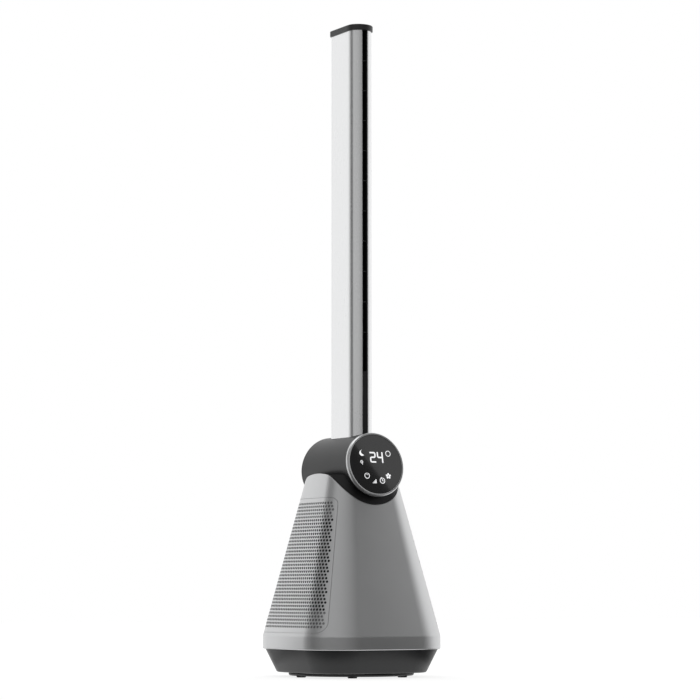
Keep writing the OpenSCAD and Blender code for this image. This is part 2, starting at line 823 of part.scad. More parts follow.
shaft_high = cover_z + bearing_t + shaft_past;

// Points of a curved blade between two radii that turns through sweep degrees
function blade_points(r0, r1, sweep, t) = let (steps = 6, edge = function (side) [
    for (i = [0 : steps]) let (
        u = i / steps,
        r = r0 + (r1 - r0) * u,
        a = sweep * u * u + side * t / r * 90 / PI
    ) r * [cos(a), sin(a)]
]) concat(edge(-1), [for (i = [steps : -1 : 0]) edge(1)[i]]);

module fan_housing() color("#5b5e62") difference() {
    union() {
        translate([0, 0, housing_z]) rotate_extrude($fn = 2 * round_fn) polygon([
            [housing_r - housing_lip_w, 0],
            [housing_r + housing_wall, 0],
            [housing_r + housing_wall, housing_low_h - housing_step_t],
            [diffuser_seat_r + housing_wall, housing_low_h - housing_step_t],
            [diffuser_seat_r + housing_wall, housing_low_h + housing_high_h],
            [diffuser_seat_r, housing_low_h + housing_high_h],
            [diffuser_seat_r, housing_low_h],
            [housing_r, housing_low_h],
            [housing_r, housing_lip_t],
            [housing_r - housing_lip_w, housing_lip_t]
        ]);
        for (a = [45 : 90 : 315]) rotate([0, 0, a]) {
            translate([housing_r + housing_wall / 2, -ear_r * tab_arm_share, housing_z])
                cube([housing_post_xy * sqrt(2) - housing_r - housing_wall / 2,
                      2 * ear_r * tab_arm_share, ear_t]);
            translate([housing_post_xy * sqrt(2), 0, housing_z]) disc(ear_r, ear_t);
        }
    }
    four_corners(housing_post_xy, housing_post_xy) translate([0, 0, housing_z - over])
        cylinder(r = housing_screw_r + fit_gap, h = ear_t + 2 * over, $fn = hole_fn);
}

module housing_screws() color("#a5a8ab") four_corners(housing_post_xy, housing_post_xy)
    translate([0, 0, housing_z + ear_t + housing_screw_head_h])
        screw(housing_screw_head, housing_screw_head_h, housing_screw_r,
              housing_screw_head_h + ear_t + housing_screw_bite - seat_gap);

module intake_ring() color("#3c3e41") translate([0, 0, intake_z])
    rotate_extrude($fn = 2 * round_fn) difference() {
        translate([throat_r, 0]) square([housing_r - seat_gap - throat_r, ring_throat_h]);
        translate([ring_plate_in + ring_lip_t, ring_plate_t])
            square([housing_r, ring_throat_h]);
        translate([throat_r + ring_lip_t, ring_plate_t + ring_lip_t])
            square([housing_r, ring_throat_h]);
        translate([throat_r - over, -over]) square([over + ring_lip_t, over + ring_lip_t]);
    }

// The hub's cone, from radius low at a third of the height to radius high at the top
module hub_cone(low, high, top) {
    rotate_extrude($fn = 2 * round_fn) polygon([
        [0, 0], [low, 0], [low, impeller_h / 3], [high, top], [0, top]
    ]);
}

module impeller_blades() {
    for (i = [0 : blade_count - 1]) rotate([0, 0, i * 360 / blade_count])
        linear_extrude(impeller_h - impeller_top_gap)
            polygon(blade_points(blade_inner_r, impeller_r - blade_t, blade_sweep, blade_t));
}

module impeller() color("#8c9095") difference() {
    translate([0, 0, impeller_z]) union() {
        difference() {
            hub_cone(impeller_hub_low_r, impeller_hub_high_r, impeller_h);
            translate([0, 0, impeller_h * hub_floor_share]) hub_cone(
                impeller_hub_low_r - impeller_hub_wall,
                impeller_hub_high_r - impeller_hub_wall, impeller_h);
        }
        disc(impeller_hub_low_r, impeller_h / 2);
        difference() {
            impeller_blades();
            translate([0, 0, impeller_h * hub_floor_share / 2]) hub_cone(
                impeller_hub_low_r - impeller_hub_wall / 2,
                impeller_hub_high_r - impeller_hub_wall / 2, impeller_h);
        }
        tube(impeller_r, impeller_eye_r, impeller_shroud_t);
    }
    disc(shaft_r + bore_gap, impeller_z + impeller_h);
}

module diffuser() color("#44474b") difference() {
    translate([0, 0, diffuser_z]) {
        tube(motor_tube_r, motor_tube_r - diffuser_wall, diffuser_h);
        disc(motor_tube_r, diffuser_floor_t);
        tube(diffuser_seat_r - seat_gap, diffuser_seat_r - seat_gap - diffuser_wall, diffuser_h);
        for (i = [0 : vane_count - 1]) rotate([0, 0, i * 360 / vane_count])
            linear_extrude(diffuser_h)
                polygon(blade_points(motor_tube_r - diffuser_wall / 2,
                                     diffuser_seat_r - seat_gap - diffuser_wall / 2,
                                     vane_sweep, vane_t));
        translate([0, 0, diffuser_floor_t - bearing_t]) disc(bearing_boss_r, bearing_t);
    }
    translate([0, 0, diffuser_z - bearing_t - over])
        disc(bearing_r + bore_gap, bearing_t + diffuser_floor_t + 2 * over);
}

module bearing() difference() {
    disc(bearing_r, bearing_t);
    translate([0, 0, -over]) disc(shaft_r + bore_gap, bearing_t + 2 * over);
}

module lower_bearing() color("#c8cacd") translate([0, 0, lower_bearing_z]) bearing();
module upper_bearing() color("#c8cacd") translate([0, 0, cover_z]) bearing();

module motor_stator() color("#7a4a2c") translate([0, 0, stator_z]) difference() {
    disc(stator_r, stator_h);
    translate([0, 0, -over]) disc(rotor_r + rotor_gap, stator_h + 2 * over);
    for (i = [0 : slot_count - 1]) rotate([0, 0, i * 360 / slot_count])
        translate([rotor_r, -stator_slot_w / 2, -over])
            cube([stator_slot_l, stator_slot_w, stator_h + 2 * over]);
}

module motor_cover() color("#b9bcc0") translate([0, 0, cover_z]) difference() {
    union() {
        disc(stator_r, cover_t);
        disc(bearing_boss_r, cover_boss_h);
    }
    translate([0, 0, -over]) disc(bearing_r + bore_gap, bearing_t + over);
    disc(shaft_r + boss_clear, cover_boss_h + over);
}

// The dome that closes the motor tube
module motor_nose() color("#44474b") translate([0, 0, diffuser_z + diffuser_h]) difference() {
    rotate_extrude($fn = round_fn) polygon([
        [0, 0], [motor_tube_r, 0],
        for (a = [0 : 15 : 75]) [motor_tube_r * cos(a), motor_tube_r / 2 * sin(a)],
        [0, motor_tube_r / 2]
    ]);
    translate([0, 0, -over]) disc(bearing_boss_r + boss_clear, over + motor_tube_r / 4);
}

module motor_rotor() color("#55585c") translate([0, 0, rotor_z])
    tube(rotor_r, shaft_r + bore_gap, rotor_h);

module motor_shaft() color("#d5d7da") translate([0, 0, shaft_low]) disc(shaft_r, shaft_high - shaft_low);

module impeller_nut() color("#a5a8ab") translate([0, 0, impeller_z - nut_h]) difference() {
    cylinder(r = nut_r, h = nut_h, $fn = 6);
    translate([0, 0, -over]) disc(shaft_r + bore_gap, nut_h + 2 * over);
}

// Riser duct from the fan unit to the barrel

riser_wall = 2.2;
riser_reach = 3;
riser_top = barrel_z - sqrt(pow(barrel_r - barrel_wall, 2) - pow(riser_r, 2)) + riser_reach;
riser_base_r = diffuser_seat_r + housing_wall;

module duct_gasket() color("#1c1c1d") translate([0, 0, housing_top])
    tube(riser_base_r, diffuser_seat_r + seat_gap, gasket_t);

module riser_duct() color("#5b5e62") rotate_extrude($fn = 2 * round_fn) polygon([
    [riser_base_r - housing_wall, riser_z],
    [riser_base_r, riser_z],
    [riser_base_r, riser_z + riser_flange_t],
    [riser_r, riser_neck_z],
    [riser_r, riser_top],
    [riser_r - riser_wall, riser_top],
    [riser_r - riser_wall, riser_neck_z],
    [riser_base_r - housing_wall, riser_z + riser_flange_t]
]);

// Cradle and barrel

cradle_band_t = 3.2;
cradle_face_t = 5;
cradle_low = 4;
barrel_screw_out = 6;
barrel_screw_y = (barrel_r + riser_r) / 2 + barrel_screw_out;
barrel_screw_r = 1.5;
barrel_screw_head = 2.8;
barrel_screw_head_h = 2;
barrel_screw_bite = 2;
band_z = barrel_z - barrel_r - seat_gap - cradle_band_t;

module barrel_screw_places() {
    for (sy = [-1, 1]) translate([0, sy * barrel_screw_y]) children();
}

// The room that the display's ring takes, with a clearance
module ring_room() {
    on_display() translate([0, 0, -ring_depth - seat_gap]) disc(ring_r + seat_gap, 2 * barrel_r);
}

module barrel_cradle() color("#2d2e30") difference() {
    intersection() {
        cone_block(cradle_inset);
        barrel_bar(barrel_r + cradle_w - seat_gap, -base_w, base_w);
    }
    barrel_bar(barrel_r + seat_gap, -base_w, base_w);
    difference() {
        cone_block(cradle_inset + cradle_face_t);
        barrel_bar(barrel_r + seat_gap + cradle_band_t, -base_w, base_w);
    }
    translate([-base_w, -base_w, crest_z - cradle_low]) cube([2 * base_w, 2 * base_w, 2 * base_w]);
    translate([0, 0, crease_z]) disc(riser_r + seat_gap, barrel_z - crease_z);
    barrel_screw_places() cylinder(r = barrel_screw_r + fit_gap, h = barrel_z, $fn = hole_fn);
    ring_room();
}

module barrel_shell() color("#4b4c4f") difference() {
    barrel_bar(barrel_r, -display_front - ring_r, barrel_rear + barrel_r);
    barrel_bar(barrel_r - barrel_wall, -display_front - ring_r - over, barrel_rear + barrel_r + over);
    on_display() translate([0, 0, -ring_depth]) disc(2 * barrel_r, 2 * barrel_r);
    on_rear() translate([0, 0, -rear_cap_t]) disc(2 * barrel_r, 2 * barrel_r);
    translate([0, 0, barrel_z - 2 * barrel_r]) disc(riser_r + seat_gap, 2 * barrel_r);
    translate([0, 0, barrel_z]) linear_extrude(2 * barrel_r) column_outline(column_wall + seat_gap / 2);
    barrel_screw_places() translate([0, 0, barrel_z - barrel_r - over])
        cylinder(r = barrel_screw_r + fit_gap, h = over + barrel_screw_bite, $fn = hole_fn);
}

module barrel_screws() color("#a5a8ab") barrel_screw_places()
    translate([0, 0, band_z - barrel_screw_head_h - seat_gap]) mirror([0, 0, 1])
        screw(barrel_screw_head, barrel_screw_head_h, barrel_screw_r,
              barrel_screw_head_h + cradle_band_t + 2 * seat_gap + barrel_screw_bite - fit_gap);

// A slice of a bar on the barrel's axis, parallel to the rear face, between two depths
module rear_slice(r, depth_0, depth_1) difference() {
    barrel_bar(r, 0, barrel_rear + barrel_r);
    on_rear() translate([0, 0, -depth_0]) disc(2 * barrel_r, 2 * barrel_r);
    on_rear() translate([0, 0, -depth_1]) mirror([0, 0, 1]) disc(2 * barrel_r, 2 * barrel_r);
}

module barrel_rear_cap() color("#4b4c4f") {
    rear_slice(barrel_r, 0, rear_cap_t);
    difference() {
        rear_slice(barrel_r - barrel_wall - fit_gap, rear_cap_t, 3 * rear_cap_t);
        barrel_bar(barrel_r - 2 * barrel_wall, 0, barrel_rear + barrel_r);
    }
}

// Column: its section has flat sides, a curved front and small rear corners

column_half = column_w / 2;
nose_r = (pow(column_half, 2) + pow(column_nose, 2)) / (2 * column_nose);
nose_y = -column_front + nose_r;
side_front_y = -column_front + column_nose;
column_rear = side_front_y + column_side;
column_clear = fit_gap * 2;
neck_wall = 2;
neck_low = 34;
neck_high = 84;
neck_flange_out = 4;
neck_flange_t = 2.2;

// The column's section, set in by inset
module column_outline(inset) {
    half = column_half - inset;
    corner = max(column_rear_r - inset, column_rear_r / 4);
    translate([-half, side_front_y]) square([2 * half, column_side - inset - corner]);
    translate([-half + corner, side_front_y]) square([2 * (half - corner), column_side - inset]);
    for (sx = [-1, 1]) translate([sx * (half - corner), column_rear - inset - corner])
        circle(corner, $fn = round_fn);
    intersection() {
        translate([0, nose_y]) circle(nose_r - inset, $fn = 2 * round_fn);
        translate([-half, -column_front]) square([2 * half, column_nose]);
    }
}

module column_neck() color("#2d2e30") difference() {
    union() {
        translate([0, 0, barrel_z + neck_low]) linear_extrude(neck_high - neck_low)
            column_outline(column_wall + seat_gap);
        intersection() {
            translate([0, 0, barrel_z]) linear_extrude(barrel_r) column_outline(-neck_flange_out);
            difference() {
                barrel_bar(barrel_r - barrel_wall - seat_gap, -base_w, base_w);
                barrel_bar(barrel_r - barrel_wall - seat_gap - neck_flange_t, -base_w, base_w);
            }
        }
    }
    translate([0, 0, barrel_z - over]) linear_extrude(neck_high + 2 * over)
        column_outline(column_wall + seat_gap + neck_wall);
    strip_clearance(barrel_z, barrel_z + neck_high + over);
}

module column_shell() color("#c9cbcd") difference() {
    translate([0, 0, barrel_z]) linear_extrude(column_h) difference() {
        column_outline(0);
        column_outline(column_wall);
        translate([-strip_w / 2 - column_clear, -column_front - over])
            square([strip_w + 2 * column_clear, column_nose + over]);
    }
    barrel_bar(barrel_r + column_clear, -base_w, base_w);
}

// Outlet strip: a dark face, two cheeks behind the slot, and the fins

strip_recess = 1;
strip_flange_w = 3.4;
strip_flange_t = 2;
strip_front_y = -column_front + strip_recess;
strip_back_y = -column_front + cheek_depth;
strip_flange_half = strip_w / 2 + strip_flange_w;
strip_flange_y = nose_y - sqrt(pow(nose_r - column_wall, 2) - pow(strip_flange_half, 2)) + seat_gap;
strip_lift = 2;
strip_low = barrel_z + barrel_r + strip_lift;
slot_top_gap = 1;
slot_top = column_top - slot_top_gap;
slot_z = slot_top - slot_h;
strip_top = column_top - fit_gap;
fin_set_back = 1.2;

module strip_clearance(z0, z1) {
    half = strip_flange_half + seat_gap;
    translate([-half, -column_front - over, z0])
        cube([2 * half, over + cheek_depth + seat_gap, z1 - z0]);
}

module strip_bar(half, y0, y1, z0, z1) {
    translate([-half, y0, z0]) cube([2 * half, y1 - y0, z1 - z0]);
}

module outlet_strip() color("#1a1a1b") {
    difference() {
        union() {
            strip_bar(strip_w / 2, strip_front_y, strip_flange_y + strip_flange_t, strip_low, strip_top);
            strip_bar(strip_flange_half, strip_flange_y, strip_flange_y + strip_flange_t,
                      strip_low, strip_top);
            strip_bar(strip_w / 2, strip_front_y, strip_back_y, slot_z, strip_top);
        }
        strip_bar(slot_w / 2, strip_front_y - over, strip_back_y + over, slot_z, slot_top);
    }
    for (i = [1 : fin_count]) strip_bar(slot_w / 2, strip_front_y + fin_set_back, strip_back_y,
        slot_top - i * fin_pitch - fin_t / 2, slot_top - i * fin_pitch + fin_t / 2);
}

cap_plug_h = 8;
cap_plug_wall = 2.4;
cap_edge = 0.8;

module column_cap() color("#3a3b3d") {
    translate([0, 0, column_top]) linear_extrude(cap_t - cap_edge) column_outline(-cap_over);
    translate([0, 0, cap_top - cap_edge]) linear_extrude(cap_edge) column_outline(-cap_over + cap_edge / 2);
    difference() {
        translate([0, 0, column_top - cap_plug_h]) linear_extrude(cap_plug_h)
            column_outline(column_wall + seat_gap);
        translate([0, 0, column_top - cap_plug_h - over]) linear_extrude(cap_plug_h + over)
            column_outline(column_wall + seat_gap + cap_plug_wall);
        strip_clearance(column_top - cap_plug_h - over, column_top);
    }
}

// Display: ring, glass, legend, board and carrier, drawn on the display's own face

glass_recess = 0.4;
glass_gap = 0.15;
ring_bevel_w = 1.4;
ring_bevel_h = 1.8;
ring_lip = 0.5;
ring_ledge = 6;
ledge_z = -glass_recess - glass_t;
carrier_r = glass_r - ring_ledge - seat_gap;
carrier_wall = 1.8;
carrier_floor_t = 2;
carrier_drop = 6;
carrier_back = -ring_depth - carrier_drop;
carrier_flange_r = barrel_r - barrel_wall - 2 * seat_gap + carrier_back * sin(display_tilt);
carrier_post_r = 2.5;
carrier_post_at = carrier_r / 2;
display_board_t = 1.6;
display_board_r = carrier_r - carrier_wall - seat_gap;
display_board_drop = 2.5;
display_board_z = ledge_z - display_board_t - display_board_drop;

module display_ring() color("#b4b6b8") on_display() rotate_extrude($fn = 2 * round_fn) polygon([
    [glass_r - ring_ledge, -ring_depth],
    [ring_r, -ring_depth],
    [ring_r, -ring_bevel_h],
    [ring_r - ring_bevel_w, ring_lip],
    [glass_r + glass_gap, -glass_recess + ring_lip],
    [glass_r + glass_gap, ledge_z],
    [glass_r - ring_ledge, ledge_z]
]);

module display_glass() color("#17181a") on_display() translate([0, 0, ledge_z])
    cylinder(r = glass_r, h = glass_t, $fn = 2 * round_fn);

module display_carrier() color("#2d2e30") on_display() {
    translate([0, 0, carrier_back]) disc(carrier_r, carrier_floor_t);
    translate([0, 0, carrier_back])
        tube(carrier_r, carrier_r - carrier_wall, ledge_z - carrier_back - seat_gap);
    translate([0, 0, carrier_back])
        tube(carrier_flange_r, carrier_r - carrier_wall, -ring_depth - carrier_back);
    for (i = [0 : 2]) rotate([0, 0, 120 * i]) translate([carrier_post_at, 0, carrier_back])
        disc(carrier_post_r, display_board_z - carrier_back);
}

module display_board() color("#2f6b45") on_display() translate([0, 0, display_board_z])
    disc(display_board_r, display_board_t);

legend_t = 0.15;
digit_h = 16.7;
digit_w = 10.7;
digit_gap = 2.3;
digit_stroke = 2.5;
digit_x = 1.6;
digit_y = 10.9;
icon_r = 4.5;
icon_stroke = 0.9;
moon_share = 0.8;
moon_bite_share = 0.7;
petal_share = 0.42;
// Segments lit on each digit: top, upper right, lower right, bottom, lower left, upper left, middle
digit_two = [1, 1, 0, 1, 1, 0, 1];
digit_four = [0, 1, 1, 0, 0, 1, 1];
moon_at = [-21.9, 16.2];
drop_at = [-23.5, 3];
clock_at = [22.6, 16.4];
power_at = [-16.9, -17.5];
bars_at = [-5, -25.1];
turn_at = [8.4, -24.4];
flower_at = [19.4, -17.2];

module stroke_bar(w, h) {
    square([w, h], center = true);
}

module digit(lit) {
    x = (digit_w - digit_stroke) / 2;
    y = (digit_h - digit_stroke) / 2;
    if (lit[0]) translate([0, y]) stroke_bar(digit_w, digit_stroke);
    if (lit[1]) translate([x, y / 2]) stroke_bar(digit_stroke, y + digit_stroke);
    if (lit[2]) translate([x, -y / 2]) stroke_bar(digit_stroke, y + digit_stroke);
    if (lit[3]) translate([0, -y]) stroke_bar(digit_w, digit_stroke);
    if (lit[4]) translate([-x, -y / 2]) stroke_bar(digit_stroke, y + digit_stroke);
    if (lit[5]) translate([-x, y / 2]) stroke_bar(digit_stroke, y + digit_stroke);
    if (lit[6]) stroke_bar(digit_w, digit_stroke);
}

module icon_ring() {
    difference() {
        circle(icon_r, $fn = round_fn);
        circle(icon_r - icon_stroke, $fn = round_fn);
    }
}

module clock_icon() {
    icon_ring();
    translate([0, icon_r / 4]) stroke_bar(icon_stroke, icon_r / 2);
    translate([icon_r / 4, 0]) stroke_bar(icon_r / 2, icon_stroke);
}

module power_icon() {
    difference() {
        icon_ring();
        translate([0, icon_r]) stroke_bar(icon_r / 2, icon_r);
    }
    translate([0, icon_r * 3 / 4]) stroke_bar(icon_stroke, icon_r / 2);
}

module moon_icon() {
    difference() {
        circle(icon_r * moon_share, $fn = round_fn);
        translate([icon_r / 2, icon_r / 3]) circle(icon_r * moon_bite_share, $fn = round_fn);
    }
}

module drop_icon() {
    circle(icon_r / 2, $fn = round_fn);
    translate([-icon_r / 2, 0]) polygon([[0, 0], [icon_r, 0], [icon_r / 2, icon_r]]);
}

module bars_icon() {
    for (i = [0 : 3]) translate([(i - 1.5) * icon_r / 2, (i - 3) * icon_r / 6])
        stroke_bar(icon_r / 3, icon_r * (i + 1) / 3);
}

module flower_icon() {
    for (i = [0 : 4]) rotate(90 + i * 72) translate([icon_r / 2, 0])
        circle(icon_r * petal_share, $fn = round_fn);
}

module display_legend() color("white") on_display() translate([0, 0, -glass_recess])
    linear_extrude(legend_t) {
        translate([digit_x - (digit_w + digit_gap) / 2, digit_y]) digit(digit_two);
        translate([digit_x + (digit_w + digit_gap) / 2, digit_y]) digit(digit_four);
        translate(moon_at) moon_icon();
        translate(drop_at) drop_icon();
        translate(clock_at) clock_icon();
        translate(power_at) power_icon();
        translate(bars_at) bars_icon();
        translate(turn_at) clock_icon();
        translate(flower_at) flower_icon();
    }

foot_plate();
foot_pads();
glide_washer();
pivot_retainer();
swing_gear();
retainer_screws();
lower_pan();
base_shell();
grille_left();
grille_right();
base_screws();
cord_inlet();
power_board();
board_screws();
swing_bracket();
swing_motor();
bracket_screws();
swing_pinion();
fan_housing();
intake_ring();
housing_screws();
diffuser();
motor_stator();
motor_cover();
lower_bearing();
upper_bearing();
motor_nose();
impeller();
motor_rotor();
motor_shaft();
impeller_nut();
duct_gasket();
riser_duct();
barrel_cradle();
barrel_shell();
barrel_rear_cap();
barrel_screws();
column_neck();
column_shell();
outlet_strip();
column_cap();
display_ring();
display_glass();
display_legend();
display_board();
display_carrier();
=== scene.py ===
# %% [markdown]
# # A bladeless tower fan
#
# The fan stands on a round foot. A tapered silver base holds the motor and takes in air
# through a grille on each side. A level barrel lies across the top of the base with a
# touch display on its front end, and a tall hollow column rises from the barrel and blows
# the air out of a slot down its front. This script dresses the CAD frame piece by piece.

import math

import bmesh
import bpy
import numpy as np
from mathutils import Euler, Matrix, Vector


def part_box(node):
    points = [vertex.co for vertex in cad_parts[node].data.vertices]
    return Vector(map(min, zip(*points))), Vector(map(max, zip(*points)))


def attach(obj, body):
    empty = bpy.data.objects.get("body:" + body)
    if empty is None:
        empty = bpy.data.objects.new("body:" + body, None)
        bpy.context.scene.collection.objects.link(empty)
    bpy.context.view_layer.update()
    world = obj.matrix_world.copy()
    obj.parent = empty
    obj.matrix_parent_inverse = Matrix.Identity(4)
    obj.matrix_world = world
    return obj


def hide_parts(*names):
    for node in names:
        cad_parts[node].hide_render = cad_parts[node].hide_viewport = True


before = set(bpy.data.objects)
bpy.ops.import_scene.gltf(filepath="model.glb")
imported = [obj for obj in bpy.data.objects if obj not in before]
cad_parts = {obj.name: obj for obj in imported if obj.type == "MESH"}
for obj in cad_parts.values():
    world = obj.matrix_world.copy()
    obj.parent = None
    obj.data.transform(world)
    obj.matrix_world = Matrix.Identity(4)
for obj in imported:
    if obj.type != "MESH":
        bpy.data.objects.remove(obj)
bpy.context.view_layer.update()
scene = bpy.context.scene
print("CAD nodes:", len(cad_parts))

# %% [markdown]
# ## Sizes
#
# The CAD part is drawn in millimetres, so the pieces here are too, and one number turns
# them into metres. The heights are read from the CAD nodes where a node has them, and the
# rest repeats the part's own values.

# %% Sizes of the fan
MM = 0.001


def node_box(node):
    """The lowest and highest corner of a CAD node, in millimetres."""
    low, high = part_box(node)
    return np.array(low) / MM, np.array(high) / MM


skirt_low = node_box("base_shell")[0][2]
base_half = node_box("base_shell")[1][0]
skirt_height = 19.3
slope_height = 237.8
crest_half = 57.5
corner_share = 0.582
shell_wall = 3.0
crease = skirt_low + skirt_height
crest = crease + slope_height
taper = (base_half - crest_half) / slope_height
side_bulge = 0.017
barrel_radius = 44.7
barrel_wall = 2.5
barrel_height = crest + 11.2
barrel_rear = 69.9
rear_lean = math.radians(13)
saddle_radius = barrel_radius + 14.0
strip_low, strip_top = (corner[2] for corner in node_box("outlet_strip"))
column_top = strip_top + 0.05
cap_top = node_box("column_cap")[1][2]
display_front = 70.0
display_lean = math.radians(11)
print("crease", round(crease, 1), "barrel axis", round(barrel_height, 1), "top", round(cap_top, 1))

# %% [markdown]
# ## Making a mesh with its own shading
#
# A moulded part has small rounded edges, and a renderer shows them only if the shading
# turns with them. So each surface here is made with the direction that it faces, kept on
# every face corner in an attribute named facing. A boolean cut carries that attribute over to
# the new faces, and at the end it becomes the mesh's own normals, so a cut shell still
# shades like one smooth surface.

# %% Mesh helpers
FACING = "facing"
# The mark of painted shade, kept on face corners: how far the colour turns dark in holes.
PAINTED_SHADE = "shade"


def add_object(name, data):
    """Puts an object with its data into the scene."""
    obj = bpy.data.objects.new(name, data)
    scene.collection.objects.link(obj)
    return obj


def unit(rows):
    """Each row made one long."""
    return rows / np.linalg.norm(rows, axis=1, keepdims=True)


def at_height(xy, z):
    """Flat points or directions with a third value, one for all or one for each."""
    return np.column_stack([xy, np.broadcast_to(z, (len(xy),))])


def bend(t, start, corner, end):
    """The point at t of a soft curve from start to end that rounds a corner."""
    return (1 - t) ** 2 * start + 2 * t * (1 - t) * corner + t * t * end


def mesh_from(name, points, faces, facings=None):
    """A mesh object from points in millimetres. facings gives one direction for each point."""
    mesh = bpy.data.meshes.new(name)
    mesh.from_pydata([tuple(p) for p in np.asarray(points, float) * MM], [], faces)
    obj = add_object(name, mesh)
    turn_outwards(mesh)
    if facings is not None:
        corner_points = np.zeros(len(mesh.loops), int)
        mesh.loops.foreach_get("vertex_index", corner_points)
        store_facings(mesh, np.asarray(facings, float)[corner_points])
    return obj


def turn_outwards(mesh):
    """Turns a closed mesh the right way out if its volume comes out negative."""
    edit = bmesh.new()
    edit.from_mesh(mesh)
    if edit.calc_volume(signed=True) < 0:
        bmesh.ops.reverse_faces(edit, faces=edit.faces)
    edit.to_mesh(mesh)
    edit.free()


def store_facings(mesh, corner_facings):
    kept = mesh.attributes.get(FACING) or mesh.attributes.new(FACING, "FLOAT_VECTOR", "CORNER")
    kept.data.foreach_set("vector", np.asarray(corner_facings, np.float32).ravel())


def read_facings(mesh):
    kept = mesh.attributes.get(FACING)
    if kept is None:
        return np.zeros((len(mesh.loops), 3))
    values = np.zeros(len(mesh.loops) * 3, np.float32)
    kept.data.foreach_get("vector", values)
    return values.reshape(-1, 3).astype(float)


def store_painted_shade(mesh, shade):
    """Marks a mesh with a share of painted shade, which the finishes read. A cut carries it over."""
    kept = mesh.attributes.get(PAINTED_SHADE) or mesh.attributes.new(PAINTED_SHADE, "FLOAT", "CORNER")
    kept.data.foreach_set("value", np.full(len(mesh.loops), shade, np.float32))


def face_normals_by_corner(mesh):
    normals = np.zeros(len(mesh.polygons) * 3)
    mesh.polygons.foreach_get("normal", normals)
    counts = np.zeros(len(mesh.polygons), int)
    mesh.polygons.foreach_get("loop_total", counts)
    return np.repeat(normals.reshape(-1, 3), counts, axis=0)


def settle_shading(obj):
    """Makes the kept facings the mesh's normals. A corner with none takes its face's own."""
    mesh = obj.data
    facings = read_facings(mesh)
    flat = face_normals_by_corner(mesh)
    length = np.linalg.norm(facings, axis=1, keepdims=True)
    usable = (length[:, 0] > 0.05) & ((facings * flat).sum(axis=1) > 0.2 * length[:, 0])
    chosen = np.where(usable[:, None], facings / np.maximum(length, 1e-9), flat)
    mesh.polygons.foreach_set("use_smooth", np.ones(len(mesh.polygons), bool))
    mesh.normals_split_custom_set([tuple(n) for n in chosen])
    kept = mesh.attributes.get(FACING)
    if kept is not None:
        mesh.attributes.remove(kept)
    return obj


def bake_modifiers(obj):
    """Replaces an object's mesh by what its modifiers make of it."""
    bpy.context.view_layer.update()
    made = bpy.data.meshes.new_from_object(obj.evaluated_get(bpy.context.evaluated_depsgraph_get()))
    obj.modifiers.clear()
    old, obj.data = obj.data, made
    made.name = obj.name
    bpy.data.meshes.remove(old)
    return obj


def cut(obj, tool, how="DIFFERENCE"):
    """Cuts obj by a closed tool, or keeps what they share, or joins them."""
    if how == "DIFFERENCE":
        store_facings(tool.data, -read_facings(tool.data))
    modifier = obj.modifiers.new("cut", "BOOLEAN")
    modifier.operation = how
    modifier.object = tool
    modifier.solver = "MANIFOLD"
    bake_modifiers(obj)
    bpy.data.objects.remove(tool)
    return obj


def grid_faces(rows, columns, wrap_rows=False, wrap_columns=False):
    """Quads over points that lie in rows."""
    faces = []
    for r in range(rows if wrap_rows else rows - 1):
        for c in range(columns if wrap_columns else columns - 1):
            r2, c2 = (r + 1) % rows, (c + 1) % columns
            faces.append((r * columns + c, r * columns + c2, r2 * columns + c2, r2 * columns + c))
    return faces


def lofted(name, rings, closed=False, around=True):
    """A skin over rings of points, each given with its facings. A closed one joins its last
    ring to its first, and an open one gets a flat face over its first and its last ring."""
    count = len(rings[0][0])
    faces = grid_faces(len(rings), count, closed, around)
    if around and not closed:
        faces += [tuple(reversed(range(count))), tuple(range((len(rings) - 1) * count, len(rings) * count))]
    elif closed and not around:
        faces += [tuple(r * count for r in range(len(rings))),
                  tuple(r * count + count - 1 for r in reversed(range(len(rings))))]
    points, facings = (np.vstack([ring[i] for ring in rings]) for i in (0, 1))
    return mesh_from(name, points, faces, facings)


print("mesh helpers ready")

# %% [markdown]
# ## Rounded corners on a profile
#
# Most pieces are a profile that is turned round an axis or carried along an outline. This
# helper rounds each corner of a profile with a small arc and gives the direction that each
# point faces, so that the flats stay flat and only the arcs catch the light.

# %% Profile helper
ARC_STEPS = 3


def eased(corners, closed=True, steps=ARC_STEPS):
    """corners is a list of (across, up, radius), going round with the solid on the left.
    Returns the points of the rounded profile and the directions that they face."""
    points, facings = [], []
    count = len(corners)
    at = np.array([c[:2] for c in corners], float)
    for i, (_, _, radius) in enumerate(corners):
        if not closed and i in (0, count - 1):
            step = at[1] - at[0] if i == 0 else at[-1] - at[-2]
            step = step / np.linalg.norm(step)
            points.append(at[i])
            facings.append(np.array([step[1], -step[0]]))
            continue
        back, ahead = at[i] - at[i - 1], at[(i + 1) % count] - at[i]
        room = 0.45 * min(np.linalg.norm(back), np.linalg.norm(ahead))
        back, ahead = back / np.linalg.norm(back), ahead / np.linalg.norm(ahead)
        turn = math.atan2(back[0] * ahead[1] - back[1] * ahead[0], float(back @ ahead))
        half = abs(turn) / 2
        reach = min(radius * math.tan(half), room) if radius > 0 else min(0.02, room)
        start, end = at[i] - back * reach, at[i] + ahead * reach
        from_facing = np.array([back[1], -back[0]])
        to_facing = np.array([ahead[1], -ahead[0]])
        for s in range(steps + 1):
            t = s / steps
            points.append(bend(t, start, at[i], end))
            facing = (1 - t) * from_facing + t * to_facing
            facings.append(facing / max(np.linalg.norm(facing), 1e-9))
    return np.array(points), np.array(facings)


